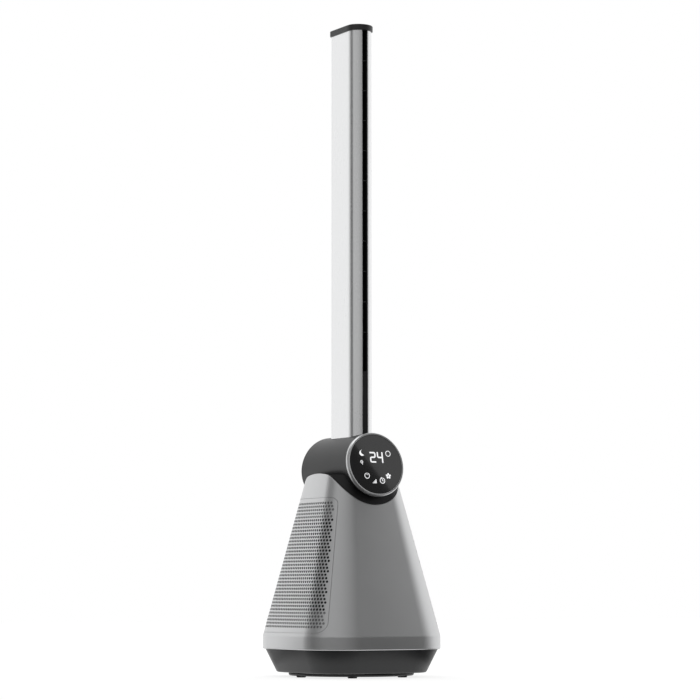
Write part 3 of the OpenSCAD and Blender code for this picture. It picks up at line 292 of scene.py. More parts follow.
def turned(name, corners, sides=128, closed=True, steps=ARC_STEPS):
    """A profile of (radius, height, rounding) turned round Z. An open one starts and ends on
    the axis. The profile goes up on the outside."""
    profile, facing = eased(corners, closed, steps)
    angles = np.arange(sides) * 2 * math.pi / sides
    points, facings, rings = [], [], []
    for (r, z), (fr, fz) in zip(profile, facing):
        if r < 1e-6:
            rings.append([len(points)])
            points.append((0, 0, z))
            facings.append((0, 0, math.copysign(1, fz)))
            continue
        rings.append(list(range(len(points), len(points) + sides)))
        for a in angles:
            points.append((r * math.cos(a), r * math.sin(a), z))
            facings.append((fr * math.cos(a), fr * math.sin(a), fz))
    faces = []
    pairs = list(zip(rings, rings[1:])) + ([(rings[-1], rings[0])] if closed else [])
    for low, high in pairs:
        for i in range(sides):
            j = (i + 1) % sides
            if len(low) == 1:
                faces.append((low[0], high[j], high[i]))
            elif len(high) == 1:
                faces.append((low[i], low[j], high[0]))
            else:
                faces.append((low[i], low[j], high[j], high[i]))
    return mesh_from(name, points, faces, facings)


def placed(obj, matrix=np.eye(3), offset=(0, 0, 0)):
    """Turns a mesh and its facings by a 3 by 3 matrix and moves it by some millimetres."""
    mesh, matrix = obj.data, np.asarray(matrix, float)
    co = np.zeros(len(mesh.vertices) * 3)
    mesh.vertices.foreach_get("co", co)
    co = co.reshape(-1, 3) @ matrix.T + np.asarray(offset, float) * MM
    mesh.vertices.foreach_set("co", co.ravel())
    if mesh.attributes.get(FACING):
        store_facings(mesh, read_facings(mesh) @ matrix.T)
    mesh.update()
    turn_outwards(mesh)
    return obj


ALONG_Y = [[1, 0, 0], [0, 0, 1], [0, -1, 0]]
lean_cos, lean_sin = math.cos(display_lean), math.sin(display_lean)
ON_DISPLAY = [[1, 0, 0], [0, lean_sin, -lean_cos], [0, lean_cos, lean_sin]]
DISPLAY_AT = (0, -display_front, barrel_height)


def rod(name, radius, low, high, sides, rounding=(0, 0), steps=ARC_STEPS):
    """A plain bar round Z. rounding is that of its lower and its upper edge."""
    corners = [(0, low, 0), (radius, low, rounding[0]), (radius, high, rounding[1]), (0, high, 0)]
    return turned(name, corners, sides, False, steps)


def bar_along_y(name, radius, y_low, y_high, z=barrel_height, sides=160):
    """A plain level bar along the fan's depth, for cutting."""
    return placed(rod(name, radius, 0, y_high - y_low, sides), ALONG_Y, (0, y_low, z))


def post(name, radius, z_low, z_high, at=(0, 0), sides=48):
    """A plain upright bar, for cutting or for posts."""
    return placed(rod(name, radius, z_low, z_high, sides), offset=(*at, 0))


def block(name, low, high):
    """A plain block between two corners, in millimetres, for cutting."""
    points = [(x, y, z) for z in (low[2], high[2]) for y in (low[1], high[1]) for x in (low[0], high[0])]
    faces = [(0, 2, 3, 1), (4, 5, 7, 6), (0, 1, 5, 4), (2, 6, 7, 3), (0, 4, 6, 2), (1, 3, 7, 5)]
    return mesh_from(name, points, faces, np.zeros((8, 3)))


print("profile helpers ready")

# %% [markdown]
# ## Finishes
#
# The silver pieces are painted plastic with a fine metal flake, the column is satin
# silver, and the barrel, pan and cap are dark moulded plastic with a fine spark grain.
# One shader node group makes that grain. It reads the object's own coordinates, so the
# grain stays put on the piece, and it gives a colour, a roughness and a bump. It also
# paints shade into the insides of small holes, where the mesh carries a mark for it: there
# it turns the colour towards near black, as painted shade for the shade that falls in them.

# %% Node helpers, and a shader node group for fine grain and painted shade
BROAD_SCALE, BROAD_SHARE = 28.0, 0.3
# The near black colour that painted shade turns the insides of holes towards.
PAINTED_SHADE_LEVEL = 0.012


def grey(level):
    return (level, level, level, 1)


def set_inputs(tree, node, inputs):
    """Sets a node's inputs. Where one is given as a socket it is linked, and else set."""
    for label, value in inputs.items():
        if isinstance(value, bpy.types.NodeSocket):
            tree.links.new(value, node.inputs[label])
        else:
            node.inputs[label].default_value = value


def add_node(tree, kind, inputs=None, **settings):
    """A new node of a tree, with its settings and its inputs."""
    node = tree.nodes.new(kind)
    for setting, value in settings.items():
        setattr(node, setting, value)
    set_inputs(tree, node, inputs or {})
    return node


def math_node(tree, operation, *values):
    """The result of a math node on sockets or plain numbers."""
    return add_node(tree, "ShaderNodeMath", dict(enumerate(values)), operation=operation).outputs[0]


def new_group(name, kind, inputs, outputs):
    """An empty node group with its sockets. An input may have a starting value."""
    tree = bpy.data.node_groups.new(name, kind)
    for label, socket_kind, *value in inputs:
        socket = tree.interface.new_socket(label, in_out="INPUT", socket_type="NodeSocket" + socket_kind)
        if value:
            socket.default_value = value[0]
    for label, socket_kind in outputs:
        tree.interface.new_socket(label, in_out="OUTPUT", socket_type="NodeSocket" + socket_kind)
    return tree, add_node(tree, "NodeGroupInput").outputs


def make_grain_and_painted_shade_group():
    tree, given = new_group(
        "Fine grain", "ShaderNodeTree",
        [("Color", "Color", grey(0.5)), ("Grain per metre", "Float", 3000.0),
         ("Stretch along Z", "Float", 1.0), ("Colour change", "Float", 0.05), ("Roughness", "Float", 0.4),
         ("Roughness change", "Float", 0.1), ("Bump height", "Float", 0.00002)],
        [("Color", "Color"), ("Roughness", "Float"), ("Normal", "Vector")])
    where = add_node(tree, "ShaderNodeTexCoord").outputs["Object"]
    apart = add_node(tree, "ShaderNodeSeparateXYZ", {0: where}).outputs
    squeezed = math_node(tree, "DIVIDE", apart["Z"], given["Stretch along Z"])
    place = add_node(tree, "ShaderNodeCombineXYZ", {"X": apart["X"], "Y": apart["Y"], "Z": squeezed})
    fine = add_node(tree, "ShaderNodeTexNoise", {
        "Vector": place.outputs[0], "Scale": given["Grain per metre"], "Detail": 2.0}).outputs["Fac"]
    broad = add_node(tree, "ShaderNodeTexNoise", {
        "Vector": where, "Scale": BROAD_SCALE, "Detail": 3.0}).outputs["Fac"]
    both = add_node(tree, "ShaderNodeMix", {0: BROAD_SHARE, 2: fine, 3: broad}, data_type="FLOAT")
    centred = math_node(tree, "SUBTRACT", both.outputs[0], 0.5)
    lighter = math_node(tree, "MULTIPLY_ADD", centred, given["Colour change"], 1.0)
    tinted = add_node(tree, "ShaderNodeVectorMath", {0: given["Color"], "Scale": lighter}, operation="SCALE")
    # Painted shade: where a mesh carries the mark, its colour turns towards near black.
    shade = add_node(tree, "ShaderNodeAttribute", attribute_name=PAINTED_SHADE).outputs["Fac"]
    shaded = add_node(tree, "ShaderNodeMix", {0: shade, 6: tinted.outputs[0], 7: grey(PAINTED_SHADE_LEVEL)},
                      data_type="RGBA")
    rougher = math_node(tree, "MULTIPLY_ADD", centred, given["Roughness change"], given["Roughness"])
    bump = add_node(tree, "ShaderNodeBump", {
        "Strength": 1.0, "Distance": given["Bump height"], "Height": fine})
    add_node(tree, "NodeGroupOutput", {
        "Color": shaded.outputs[2], "Roughness": rougher, "Normal": bump.outputs[0]})
    return tree


grain_and_painted_shade_group = make_grain_and_painted_shade_group()
print("shader group:", grain_and_painted_shade_group.name)

# %% A finish for each material slot
finishes = {}


def finish_of(name, color, metallic, roughness, grain=3000, stretch=1, colour_change=0.1,
              roughness_change=0.15, bump=0.00001, coat=0.0, coat_roughness=0.1, specular=0.5, glow=0.0):
    """A material on the group for grain and painted shade, with its constants on the shader's own sockets. A
    glow makes the colour itself glow, which is painted light.
    """
    material = bpy.data.materials.new(name)
    material.use_nodes = True
    tree = material.node_tree
    shader = tree.nodes["Principled BSDF"]
    grain_and_painted_shade = add_node(tree, "ShaderNodeGroup", node_tree=grain_and_painted_shade_group)
    set_inputs(tree, grain_and_painted_shade, {
        "Color": (*color, 1), "Grain per metre": grain, "Stretch along Z": stretch,
        "Colour change": colour_change, "Roughness": roughness, "Roughness change": roughness_change,
        "Bump height": bump})
    grain_and_painted_shade = grain_and_painted_shade.outputs
    set_inputs(tree, shader, {
        "Base Color": grain_and_painted_shade["Color"], "Roughness": grain_and_painted_shade["Roughness"], "Normal": grain_and_painted_shade["Normal"],
        "Metallic": metallic, "Specular IOR Level": specular, "Coat Weight": coat,
        "Coat Roughness": coat_roughness})
    # Painted light: the colour itself glows, though the piece is no lamp.
    if glow:
        set_inputs(tree, shader, {"Emission Color": grain_and_painted_shade["Color"], "Emission Strength": glow})
    material.diffuse_color = (*color, 1)
    finishes[name] = material


finish_of("silver_plastic", (0.69, 0.695, 0.7), 0.85, 0.36, grain=2600, colour_change=0.16, bump=0.000012)
finish_of("column_aluminium", (0.885, 0.89, 0.895), 0.95, 0.27, grain=1800, stretch=30, colour_change=0.02,
          roughness_change=0.03, bump=0.0000008)
finish_of("dark_plastic", (0.024, 0.025, 0.026), 0.0, 0.42, grain=2400, bump=0.000015, colour_change=0.3,
          specular=0.6)
finish_of("black_plastic", (0.008, 0.008, 0.009), 0.0, 0.5, grain=2400, bump=0.000012, colour_change=0.3)
finish_of("dark_glass", (0.006, 0.006, 0.007), 0.0, 0.045, grain=500, bump=0.0, roughness_change=0.02,
          coat=0.6, coat_roughness=0.02)
# The legend's glow is painted light, which keeps the printed signs bright.
finish_of("legend_white", (0.92, 0.93, 0.94), 0.0, 0.5, grain=1500, colour_change=0.02, glow=0.75)
finish_of("housing_plastic", (0.035, 0.036, 0.038), 0.0, 0.5, grain=1500, bump=0.00003)
finish_of("white_acetal", (0.8, 0.79, 0.75), 0.0, 0.35, grain=900, colour_change=0.05)
finish_of("impeller_plastic", (0.3, 0.32, 0.34), 0.0, 0.45, grain=1500, bump=0.00002)
finish_of("zinc_steel", (0.62, 0.63, 0.65), 1.0, 0.3, grain=700, colour_change=0.2, bump=0.00001)
finish_of("bearing_steel", (0.75, 0.76, 0.78), 1.0, 0.18, grain=2500, colour_change=0.06)
finish_of("copper_winding", (0.6, 0.3, 0.14), 1.0, 0.35, grain=1400, stretch=0.2, colour_change=0.35,
          bump=0.00008)
finish_of("circuit_board", (0.03, 0.18, 0.08), 0.0, 0.35, grain=900, colour_change=0.5, bump=0.00002)
finish_of("rubber", (0.02, 0.02, 0.02), 0.0, 0.75, grain=1800, bump=0.00003, colour_change=0.3)
print("finishes:", ", ".join(finishes))

# %% [markdown]
# ## Putting a piece on the fan
#
# Every finished piece rides on the CAD body that it belongs to, stands in for its CAD node,
# and names the material slot that it takes its finish from.

# %% Dress a node with a piece
dressed = {}


def dress(obj, body, slot_name, *nodes):
    """Finishes a piece, puts it on a body and hides the CAD nodes that it stands in for."""
    if obj.data.attributes.get(FACING):
        settle_shading(obj)
    obj.data.materials.clear()
    obj.data.materials.append(finishes[slot_name])
    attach(obj, body)
    if nodes:
        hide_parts(*nodes)
    dressed[obj.name] = sum(len(p.vertices) - 2 for p in obj.data.polygons)
    print(obj.name, "on", body, "with", dressed[obj.name], "triangles")


# %% [markdown]
# ## Repeating a shape
#
# Holes, fins, pads and screws are one shape many times over. A Geometry Nodes tree copies
# a shape to every point of a mesh, turned by an attribute on the points, then makes the
# copies real and gives them their material. Its inputs are the shape, the size and the
# material, and they are set before the object is first evaluated.

# %% A Geometry Nodes tree that repeats a shape
def repeat_tree():
    tree, given = new_group(
        "Repeat a shape", "GeometryNodeTree",
        [("Places", "Geometry"), ("Shape", "Object"), ("Size", "Float", 1.0), ("Finish", "Material")],
        [("Copies", "Geometry")])
    shape = add_node(tree, "GeometryNodeObjectInfo", {"Object": given["Shape"]}, transform_space="ORIGINAL")
    turn = add_node(tree, "GeometryNodeInputNamedAttribute", {"Name": "turn"}, data_type="FLOAT_VECTOR")
    rotation = add_node(tree, "FunctionNodeEulerToRotation", {"Euler": turn.outputs["Attribute"]})
    copies = add_node(tree, "GeometryNodeInstanceOnPoints", {
        "Points": given["Places"], "Instance": shape.outputs["Geometry"],
        "Rotation": rotation.outputs["Rotation"], "Scale": given["Size"]})
    real = add_node(tree, "GeometryNodeRealizeInstances", {"Geometry": copies.outputs["Instances"]})
    coat = add_node(tree, "GeometryNodeSetMaterial", {
        "Geometry": real.outputs["Geometry"], "Material": given["Finish"]})
    add_node(tree, "NodeGroupOutput", {"Copies": coat.outputs["Geometry"]})
    return tree


repeat = repeat_tree()
repeat_inputs = {s.name: s.identifier for s in repeat.interface.items_tree if s.in_out == "INPUT"}


def repeated(name, shape, places, turns, finish=None, size=1.0):
    """Copies of a shape at places in millimetres, each turned by Euler angles, as one mesh."""
    mesh = bpy.data.meshes.new(name)
    mesh.from_pydata([tuple(np.asarray(p, float) * MM) for p in places], [], [])
    turn = mesh.attributes.new("turn", "FLOAT_VECTOR", "POINT")
    turn.data.foreach_set("vector", np.asarray(turns, np.float32).ravel())
    obj = add_object(name, mesh)
    modifier = obj.modifiers.new("repeat", "NODES")
    modifier.node_group = repeat
    for label, value in (("Shape", shape), ("Size", size), ("Finish", finish)):
        modifier[repeat_inputs[label]] = value
    bake_modifiers(obj)
    bpy.data.objects.remove(shape)
    if obj.data.attributes.get("turn"):
        obj.data.attributes.remove(obj.data.attributes["turn"])
    turn_facings(obj.data, turns)
    return obj


def turn_facings(mesh, turns):
    """The copies keep the shape's own facings, so each copy's are turned as the copy was."""
    facings = read_facings(mesh)
    if not len(turns) or not np.any(facings):
        return
    share = len(facings) // len(turns)
    for i, angles in enumerate(turns):
        matrix = np.array(Euler(angles).to_matrix())
        rows = slice(i * share, (i + 1) * share)
        facings[rows] = facings[rows] @ matrix.T
    store_facings(mesh, facings)


print("repeat tree inputs:", list(repeat_inputs))

# %% [markdown]
# ## The base's section
#
# Seen from above, the base is a square with very round corners and sides that bulge a
# little. It keeps that shape all the way up and only shrinks, so one list of points for a
# half width of 1, with the direction that each one faces, gives the base at every height.

# %% Section of the base
SIDE_STEPS = 12
CORNER_STEPS = 36
side_arc = ((1 - corner_share) ** 2 + side_bulge ** 2) / (2 * side_bulge)
corner_mid = (1 - side_arc + math.sqrt(2 * (side_arc - corner_share) ** 2 - (side_arc - 1) ** 2)) / 2
side_turn = math.atan2(corner_mid, corner_mid + side_arc - 1)


def section_point(angle):
    """The point of the section, for a half width of 1, at which it faces an angle."""
    if angle < side_turn:
        return 1 - side_arc + side_arc * math.cos(angle), side_arc * math.sin(angle)
    return corner_mid + corner_share * math.cos(angle), corner_mid + corner_share * math.sin(angle)


def unit_section():
    """Points all round the section and the directions that they face."""
    angles = [side_turn * (2 * i / SIDE_STEPS - 1) for i in range(SIDE_STEPS)]
    angles += [side_turn + (math.pi / 2 - 2 * side_turn) * i / CORNER_STEPS for i in range(CORNER_STEPS)]
    quarter = np.array([section_point(a) for a in angles])
    facing = np.column_stack([np.cos(angles), np.sin(angles)])
    turns = [np.array([[c, s], [-s, c]]) for c, s in ((1, 0), (0, 1), (-1, 0), (0, -1))]
    return np.vstack([quarter @ turn for turn in turns]), np.vstack([facing @ turn for turn in turns])


section, section_facing = unit_section()


def half_at(z):
    """Half width of the base at a height."""
    return base_half - taper * (np.maximum(z, crease) - crease)


def base_ring(z, inset=0.0):
    """The base's outline at a height, or at one height for each point."""
    z = np.broadcast_to(np.asarray(z, float), (len(section),))
    return at_height((half_at(z) - inset)[:, None] * section, z)


slope_facing = unit(at_height(section_facing, taper * (section * section_facing).sum(axis=1)))
side_facing = at_height(section_facing, 0.0)
facing_down = np.tile([0.0, 0.0, -1.0], (len(section), 1))
print("section points:", len(section))

# %% [markdown]
# ## The silver base
#
# The real base is one moulded shell: an upright skirt, a soft crease, and a slope up to the
# barrel, which lies in a round saddle cut across the top. The saddle is where the slope
# meets a level cylinder, and that height can be worked out for every point of the section.
# So the shell is made as rings that end exactly on the saddle, with a small rounded edge,
# and needs no cut there.

# %% Where the slope meets the saddle
def saddle_height(inset):
    """For each point of the section, the height at which the slope meets the saddle."""
    share = section[:, 0]
    reach = base_half - inset - taper * (barrel_height - crease)
    a = 1 + (share * taper) ** 2
    b = -2 * share ** 2 * reach * taper
    c = (share * reach) ** 2 - saddle_radius ** 2
    under = (-b - np.sqrt(b * b - 4 * a * c)) / (2 * a)
    return barrel_height + under


def saddle_facing(points):
    """The saddle's wall faces the barrel's axis."""
    return unit(np.column_stack([-points[:, 0], np.zeros(len(points)), barrel_height - points[:, 2]]))


# %% The base shell
def make_base_shell():
    edge, soft, slope_rows, bottom_edge = 0.9, 1.4, 14, 1.15
    chamfer_facing = unit(side_facing + facing_down)
    rings = [
        (base_ring(skirt_low, shell_wall - 0.3), facing_down),
        (base_ring(skirt_low, bottom_edge), facing_down),
        (base_ring(skirt_low + 0.1, 0.9), chamfer_facing),
        (base_ring(skirt_low + 0.9, 0.1), chamfer_facing),
        (base_ring(skirt_low + bottom_edge, 0.0), side_facing),
    ]
    for share in (-1, -0.5, 0, 0.5, 1):
        weight = (share + 1) / 2
        dip = soft * taper / 4 * (1 - abs(share)) ** 2
        rings.append((base_ring(crease + soft * share, dip),
                      unit((1 - weight) * side_facing + weight * slope_facing)))
    top = saddle_height(0.0)
    first, last = crease + soft, top - 1.8 * edge
    for i in range(1, slope_rows + 1):
        rings.append((base_ring(first + (last - first) * i / slope_rows), slope_facing))
    on_slope, corner, on_wall = rings[-1][0], base_ring(top), base_ring(saddle_height(edge), edge)
    wall = saddle_facing(on_wall)
    for t in (0.25, 0.5, 0.75, 1.0):
        rings.append((bend(t, on_slope, corner, on_wall), unit((1 - t) * slope_facing + t * wall)))
    inner_wall = base_ring(saddle_height(shell_wall - edge), shell_wall - edge)
    rings.append((inner_wall, saddle_facing(inner_wall)))
    inner_top = saddle_height(shell_wall) - edge
    for i in range(5):
        rings.append((base_ring(inner_top + (crease - inner_top) * i / 4, shell_wall), -slope_facing))
    rings.append((base_ring(crease - 0.5, shell_wall), -side_facing))
    rings.append((base_ring(skirt_low + 0.3, shell_wall), -side_facing))
    return lofted("base_shell_look", rings, closed=True)


base_shell = make_base_shell()
print("base shell rings made")

# %% [markdown]
# ## The intake grilles
#
# Each side of the base has a perforated panel that follows the slope and the round
# corners. Its outline is a trapezoid with round corners, seen from the side. A prism of
# that outline cuts a seat in the shell, with a ledge behind a thin seam, and the same
# prism cuts the panel from a curved slab, so that the two always match.

# %% Outline of a grille
grille_low, grille_high = node_box("grille_right")[0][2], node_box("grille_right")[1][2]
grille_low_half = half_at(grille_low) - 23.6
grille_high_half = half_at(grille_high) - 12.8
grille_corner = 12.0
grille_thick = 1.5
grille_lean = (grille_low_half - grille_high_half) / (grille_high - grille_low)
PRISM_ENDS = (20.0, 130.0)
PRISM_STEPS = 12


def grille_half(z):
    return grille_low_half - grille_lean * (z - grille_low)


def grille_prism(name, grow):
    """The outline, grown by some millimetres, as a bar through one side of the base."""
    stretch = math.sqrt(1 + grille_lean ** 2)
    tilt = math.atan(grille_lean)
    outline, facing = [], []
    radius = grille_corner + grow
    for z, first, last in ((grille_low + grille_corner, -math.pi / 2, tilt),
                           (grille_high - grille_corner, tilt, math.pi / 2)):
        y = grille_half(z) - grille_corner * stretch
        for i in range(PRISM_STEPS + 1):
            a = first + (last - first) * i / PRISM_STEPS
            outline.append((y + radius * math.cos(a), z + radius * math.sin(a)))
            facing.append((math.cos(a), math.sin(a)))
    outline += [(-y, z) for y, z in reversed(outline)]
    facing += [(-y, z) for y, z in reversed(facing)]
    return lofted(name, [([(x, y, z) for y, z in outline], [(0, y, z) for y, z in facing])
                         for x in PRISM_ENDS])


print("grille from", round(grille_low, 1), "to", round(grille_high, 1))

# %% The seats in the shell
SEAM = 0.45
LEDGE = 4.0
MIRROR = [[-1, 0, 0], [0, 1, 0], [0, 0, 1]]


def slope_solid(name, inset, z_low, z_high):
    """A solid block of the slope, set in by some millimetres."""
    return lofted(name, [(base_ring(z, inset), slope_facing) for z in (z_low, z_high)])


for side in (np.eye(3), MIRROR):
    seat = grille_prism("seat", SEAM)
    cut(seat, slope_solid("behind", grille_thick + 0.05, crease + 0.5, crest - 1))
    cut(base_shell, placed(seat, side))
    cut(base_shell, placed(grille_prism("way", -LEDGE), side))
print("shell faces after the seats:", len(base_shell.data.polygons))

# %% [markdown]
# The holes stand in rows, square to the surface. Each row starts at a margin from the
# panel's front edge, and the start moves by a third of the spacing from row to row. The
# rows in the middle go right through, and a few rows at the top and the bottom are only
# shallow dimples. The places go by the length along the section, so the spacing stays even
# round the corners.

# %% Places of the holes
ROWS = 37
TOP_ROW, ROW_STEP = 252.2, 4.96
HOLE_STEP = 5.39
HOLE_MARGIN = 6.5
HOLE_RADIUS = 1.85
BLIND_ROWS = 5


def length_to(share):
    """Length along the section from the middle of a side to a share of the half width."""
    if share < side_arc * math.sin(side_turn):
        return side_arc * math.asin(share / side_arc)
    return side_arc * side_turn + corner_share * (math.asin((share - corner_mid) / corner_share) - side_turn)


def angle_at(length):
    """The angle that the section faces at a length along it."""
    if length < side_arc * side_turn:
        return length / side_arc
    return side_turn + (length - side_arc * side_turn) / corner_share


def hole_places():
    """Places and turns of the through holes and of the dimples on the right side."""
    through, blind = ([], []), ([], [])
    for row in range(ROWS):
        z = TOP_ROW - row * ROW_STEP
        half = float(half_at(z))
        reach = half * length_to(float(grille_half(z)) / half) - HOLE_MARGIN
        along = -reach + HOLE_STEP * ((BLIND_ROWS - row) % 3) / 3
        places, turns = blind if row < BLIND_ROWS or row >= ROWS - BLIND_ROWS else through
        while along <= reach:
            angle = angle_at(abs(along) / half)
            x, y = section_point(angle)
            side = math.copysign(1, along)
            places.append((half * x, side * half * y, z))
            turns.append((0, math.pi / 2 - math.atan(taper), side * angle))
            along += HOLE_STEP
    return through, blind


through_holes, dimples = hole_places()
print("through holes:", len(through_holes[0]), "dimples:", len(dimples[0]))

# %% The perforated panels
HOLE_SIDES = 12
# Painted shade for the walls of the through holes, and less for the shallow dimples.
HOLE_PAINTED_SHADE, DIMPLE_PAINTED_SHADE = 0.9, 0.55


def drill(name, depth, shade):
    """A tool for a hole of some depth, which marks the cut's walls with painted shade."""
    tool = rod(name, HOLE_RADIUS, -depth, 2.0, HOLE_SIDES, steps=1)
    store_painted_shade(tool.data, shade)
    return tool


def make_grille():
    z_low, z_high, rows = crease + 0.6, grille_high + 8, 6
    keep = [i for i in range(len(section)) if section[i, 0] > 0.45]
    order = sorted(keep, key=lambda i: section[i, 1])
    layers = [base_ring(z_low + (z_high - z_low) * i / (rows - 1), inset)[order]
              for inset in (0.0, grille_thick) for i in range(rows)]
    count = len(order)
    facings = np.vstack([slope_facing[order]] * rows + [-slope_facing[order]] * rows)
    faces = grid_faces(rows, count)
    faces += [tuple(reversed([v + rows * count for v in f])) for f in grid_faces(rows, count)]
    rim = [(0, c) for c in range(count)] + [(r, count - 1) for r in range(1, rows)]
    rim += [(rows - 1, c) for c in range(count - 2, -1, -1)] + [(r, 0) for r in range(rows - 2, 0, -1)]
    ids = [r * count + c for r, c in rim]
    for a, b in zip(ids, ids[1:] + ids[:1]):
        faces.append((b, a, a + rows * count, b + rows * count))
    panel = mesh_from("grille_slab", np.vstack(layers), faces, facings)
    cut(panel, grille_prism("panel", 0.0), "INTERSECT")
    # The panel's own faces carry no painted shade.
    store_painted_shade(panel.data, 0.0)
    cut(panel, repeated("holes", drill("hole", 5.0, HOLE_PAINTED_SHADE), *through_holes))
    cut(panel, repeated("dimples", drill("dimple", 1.0, DIMPLE_PAINTED_SHADE), *dimples))
    return panel


grille_right = make_grille()
grille_left = placed(add_object("grille_left_look", grille_right.data.copy()), MIRROR)
grille_right.name = "grille_right_look"
dress(grille_right, "tower", "silver_plastic", "grille_right")
dress(grille_left, "tower", "silver_plastic", "grille_left")

# %% Screw brackets inside the shell, and the finished base
BASE_SCREW = 70.0
BRACKET_LOW = skirt_low + 11.5
SCREW_SEAT = BRACKET_LOW - 6
BRACKET_RADIUS, BRACKET_THICK = 7.0, 6.0
ARM_REACH, ARM_HALF, ARM_THICK = 31.5, 5.6, 3.0
SCREW_WAY = 2.05
CORNERS = [(1, 1), (1, -1), (-1, 1), (-1, -1)]

for sx, sy in CORNERS:
    at = (sx * BASE_SCREW, sy * BASE_SCREW)
    boss = post("boss", BRACKET_RADIUS, BRACKET_LOW, BRACKET_LOW + BRACKET_THICK, at)
    arm = block("arm", (-3, -ARM_HALF, BRACKET_LOW), (ARM_REACH, ARM_HALF, BRACKET_LOW + ARM_THICK))
    angle = math.atan2(sy, sx)
    c, s = math.cos(angle), math.sin(angle)
    placed(arm, [[c, -s, 0], [s, c, 0], [0, 0, 1]], (*at, 0))
    cut(boss, arm, "UNION")
    cut(boss, post("screw_hole", SCREW_WAY, BRACKET_LOW - 1, BRACKET_LOW + BRACKET_THICK + 1, at, 16))
    cut(base_shell, boss, "UNION")
dress(base_shell, "tower", "silver_plastic", "base_shell")

# %% [markdown]
# ## The lower pan
#
# Under the silver skirt sits a dark tray that widens upwards and tucks in behind the skirt.
# Its section is the base's own, so it is made of rings too, with a rounded bottom edge,
# and then drilled for the hub, the screws and the cord's bush.

# %% The lower pan
pan_low = node_box("lower_pan")[0][2]
pan_low_half = base_half - 18.6
pan_top_half = base_half - shell_wall - 0.5
pan_wall = 3.0
pan_floor = pan_low + 3.0
lip_top = skirt_low + 8.0
flare = (pan_top_half - pan_low_half) / (skirt_low - pan_low)
HUB_WAY = 14.05
HUB_BOSS = 23.0
SCREW_POST_RADIUS, WELL_RADIUS = 6.5, 4.1
HOUSING_POST, HOUSING_POST_RADIUS, HOUSING_POST_HIGH = 55.0, 6.0, 78.5


def pan_ring(z, inset):
    half = pan_low_half + flare * (min(z, skirt_low) - pan_low) - inset
    return at_height(half * section, z)


def make_lower_pan():
    outward = unit(at_height(section_facing, -flare * (section * section_facing).sum(axis=1)))
    facing_up, round_edge, soft, rings = -facing_down, 2.2, 0.4, []
    for t in (0, 0.25, 0.5, 0.75, 1):
        turn = t * math.pi / 2
        rise, inset = round_edge * (1 - math.cos(turn)), round_edge * (1 - math.sin(turn))
        rings.append((pan_ring(pan_low + rise, inset), unit((1 - t) * facing_down + t * outward)))
    for z, inset, facing in (
            (skirt_low - soft, 0, outward), (skirt_low + soft, 0, side_facing),
            (lip_top - soft, 0, side_facing), (lip_top, soft, facing_up),
            (lip_top, pan_wall - soft, facing_up), (lip_top - soft, pan_wall, -side_facing),
            (skirt_low + soft, pan_wall, -side_facing), (skirt_low - soft, pan_wall, -outward),
            (pan_floor + 0.6, pan_wall, -outward), (pan_floor, pan_wall + 0.6, facing_up)):
        rings.append((pan_ring(z, inset), facing))
    angles = np.arctan2(section[:, 1], section[:, 0])
    circle = np.column_stack([np.cos(angles), np.sin(angles)])
    inwards = at_height(-circle, 0.0)
    for radius, z, facing in ((HUB_WAY + 0.3, pan_floor, facing_up), (HUB_WAY, pan_floor - 0.3, inwards),
                              (HUB_WAY, pan_low + 0.3, inwards), (HUB_WAY + 0.3, pan_low, facing_down)):
        rings.append((at_height(radius * circle, z), facing))
    return lofted("lower_pan_look", rings, closed=True)


lower_pan = make_lower_pan()
for sx, sy in CORNERS:
    at = (sx * BASE_SCREW, sy * BASE_SCREW)
    housing_at = (sx * HOUSING_POST, sy * HOUSING_POST)
    cut(lower_pan, post("post", SCREW_POST_RADIUS, pan_low + 0.8, BRACKET_LOW, at), "UNION")
    cut(lower_pan, post("housing_post", HOUSING_POST_RADIUS, pan_low + 0.8, pan_floor + HOUSING_POST_HIGH,
                        housing_at), "UNION")
    cut(lower_pan, post("well", WELL_RADIUS, pan_low - 3, SCREW_SEAT, at))
    cut(lower_pan, post("screw_way", SCREW_WAY, SCREW_SEAT - 2, BRACKET_LOW + 1, at, 16))
cut(lower_pan, turned("hub_boss", [
    (HUB_WAY, pan_low + 1, 0), (HUB_BOSS, pan_low + 1, 0), (HUB_BOSS, pan_low + 8, 0.5),
    (HUB_WAY, pan_low + 8, 0.5)], 96), "UNION")
INLET_AT = (0, 96.0, pan_low + 17.5)
for name, radius, y_low, y_high, how in (
        ("inlet_boss", 12.0, -8, 4.5, "UNION"), ("inlet_pocket", 9.3, 0, 20, "DIFFERENCE"),
        ("inlet_way", 5.55, -20, 1, "DIFFERENCE")):
    cut(lower_pan, bar_along_y(name, radius, INLET_AT[1] + y_low, INLET_AT[1] + y_high, INLET_AT[2], 64), how)
dress(lower_pan, "tower", "dark_plastic", "lower_pan")

# %% [markdown]
# ## The cord's bush
#
# The rear of the pan has a soft bush for the mains cord. It is a turned shape that lies
# along Y: a flange in its pocket, a short nose and the way through.

# %% The cord inlet
bush = turned("cord_inlet_look", [
    (3.6, -10.5, 0.3), (7.6, -10.5, 0.5), (7.6, -8, 0.3), (5.5, -8, 0.1), (5.5, 0, 0.1), (9, 0, 0.3),
    (9, 2.5, 0.7), (5.2, 2.5, 0.4), (5.2, 5.5, 0.6), (3.6, 5.5, 0.4)], 72)
dress(placed(bush, ALONG_Y, INLET_AT), "tower", "rubber", "cord_inlet")

# %% [markdown]
# ## The foot
#
# The fan stands on a thin round plate with a hub in its middle, which the tower turns on,
# and six soft pads underneath.

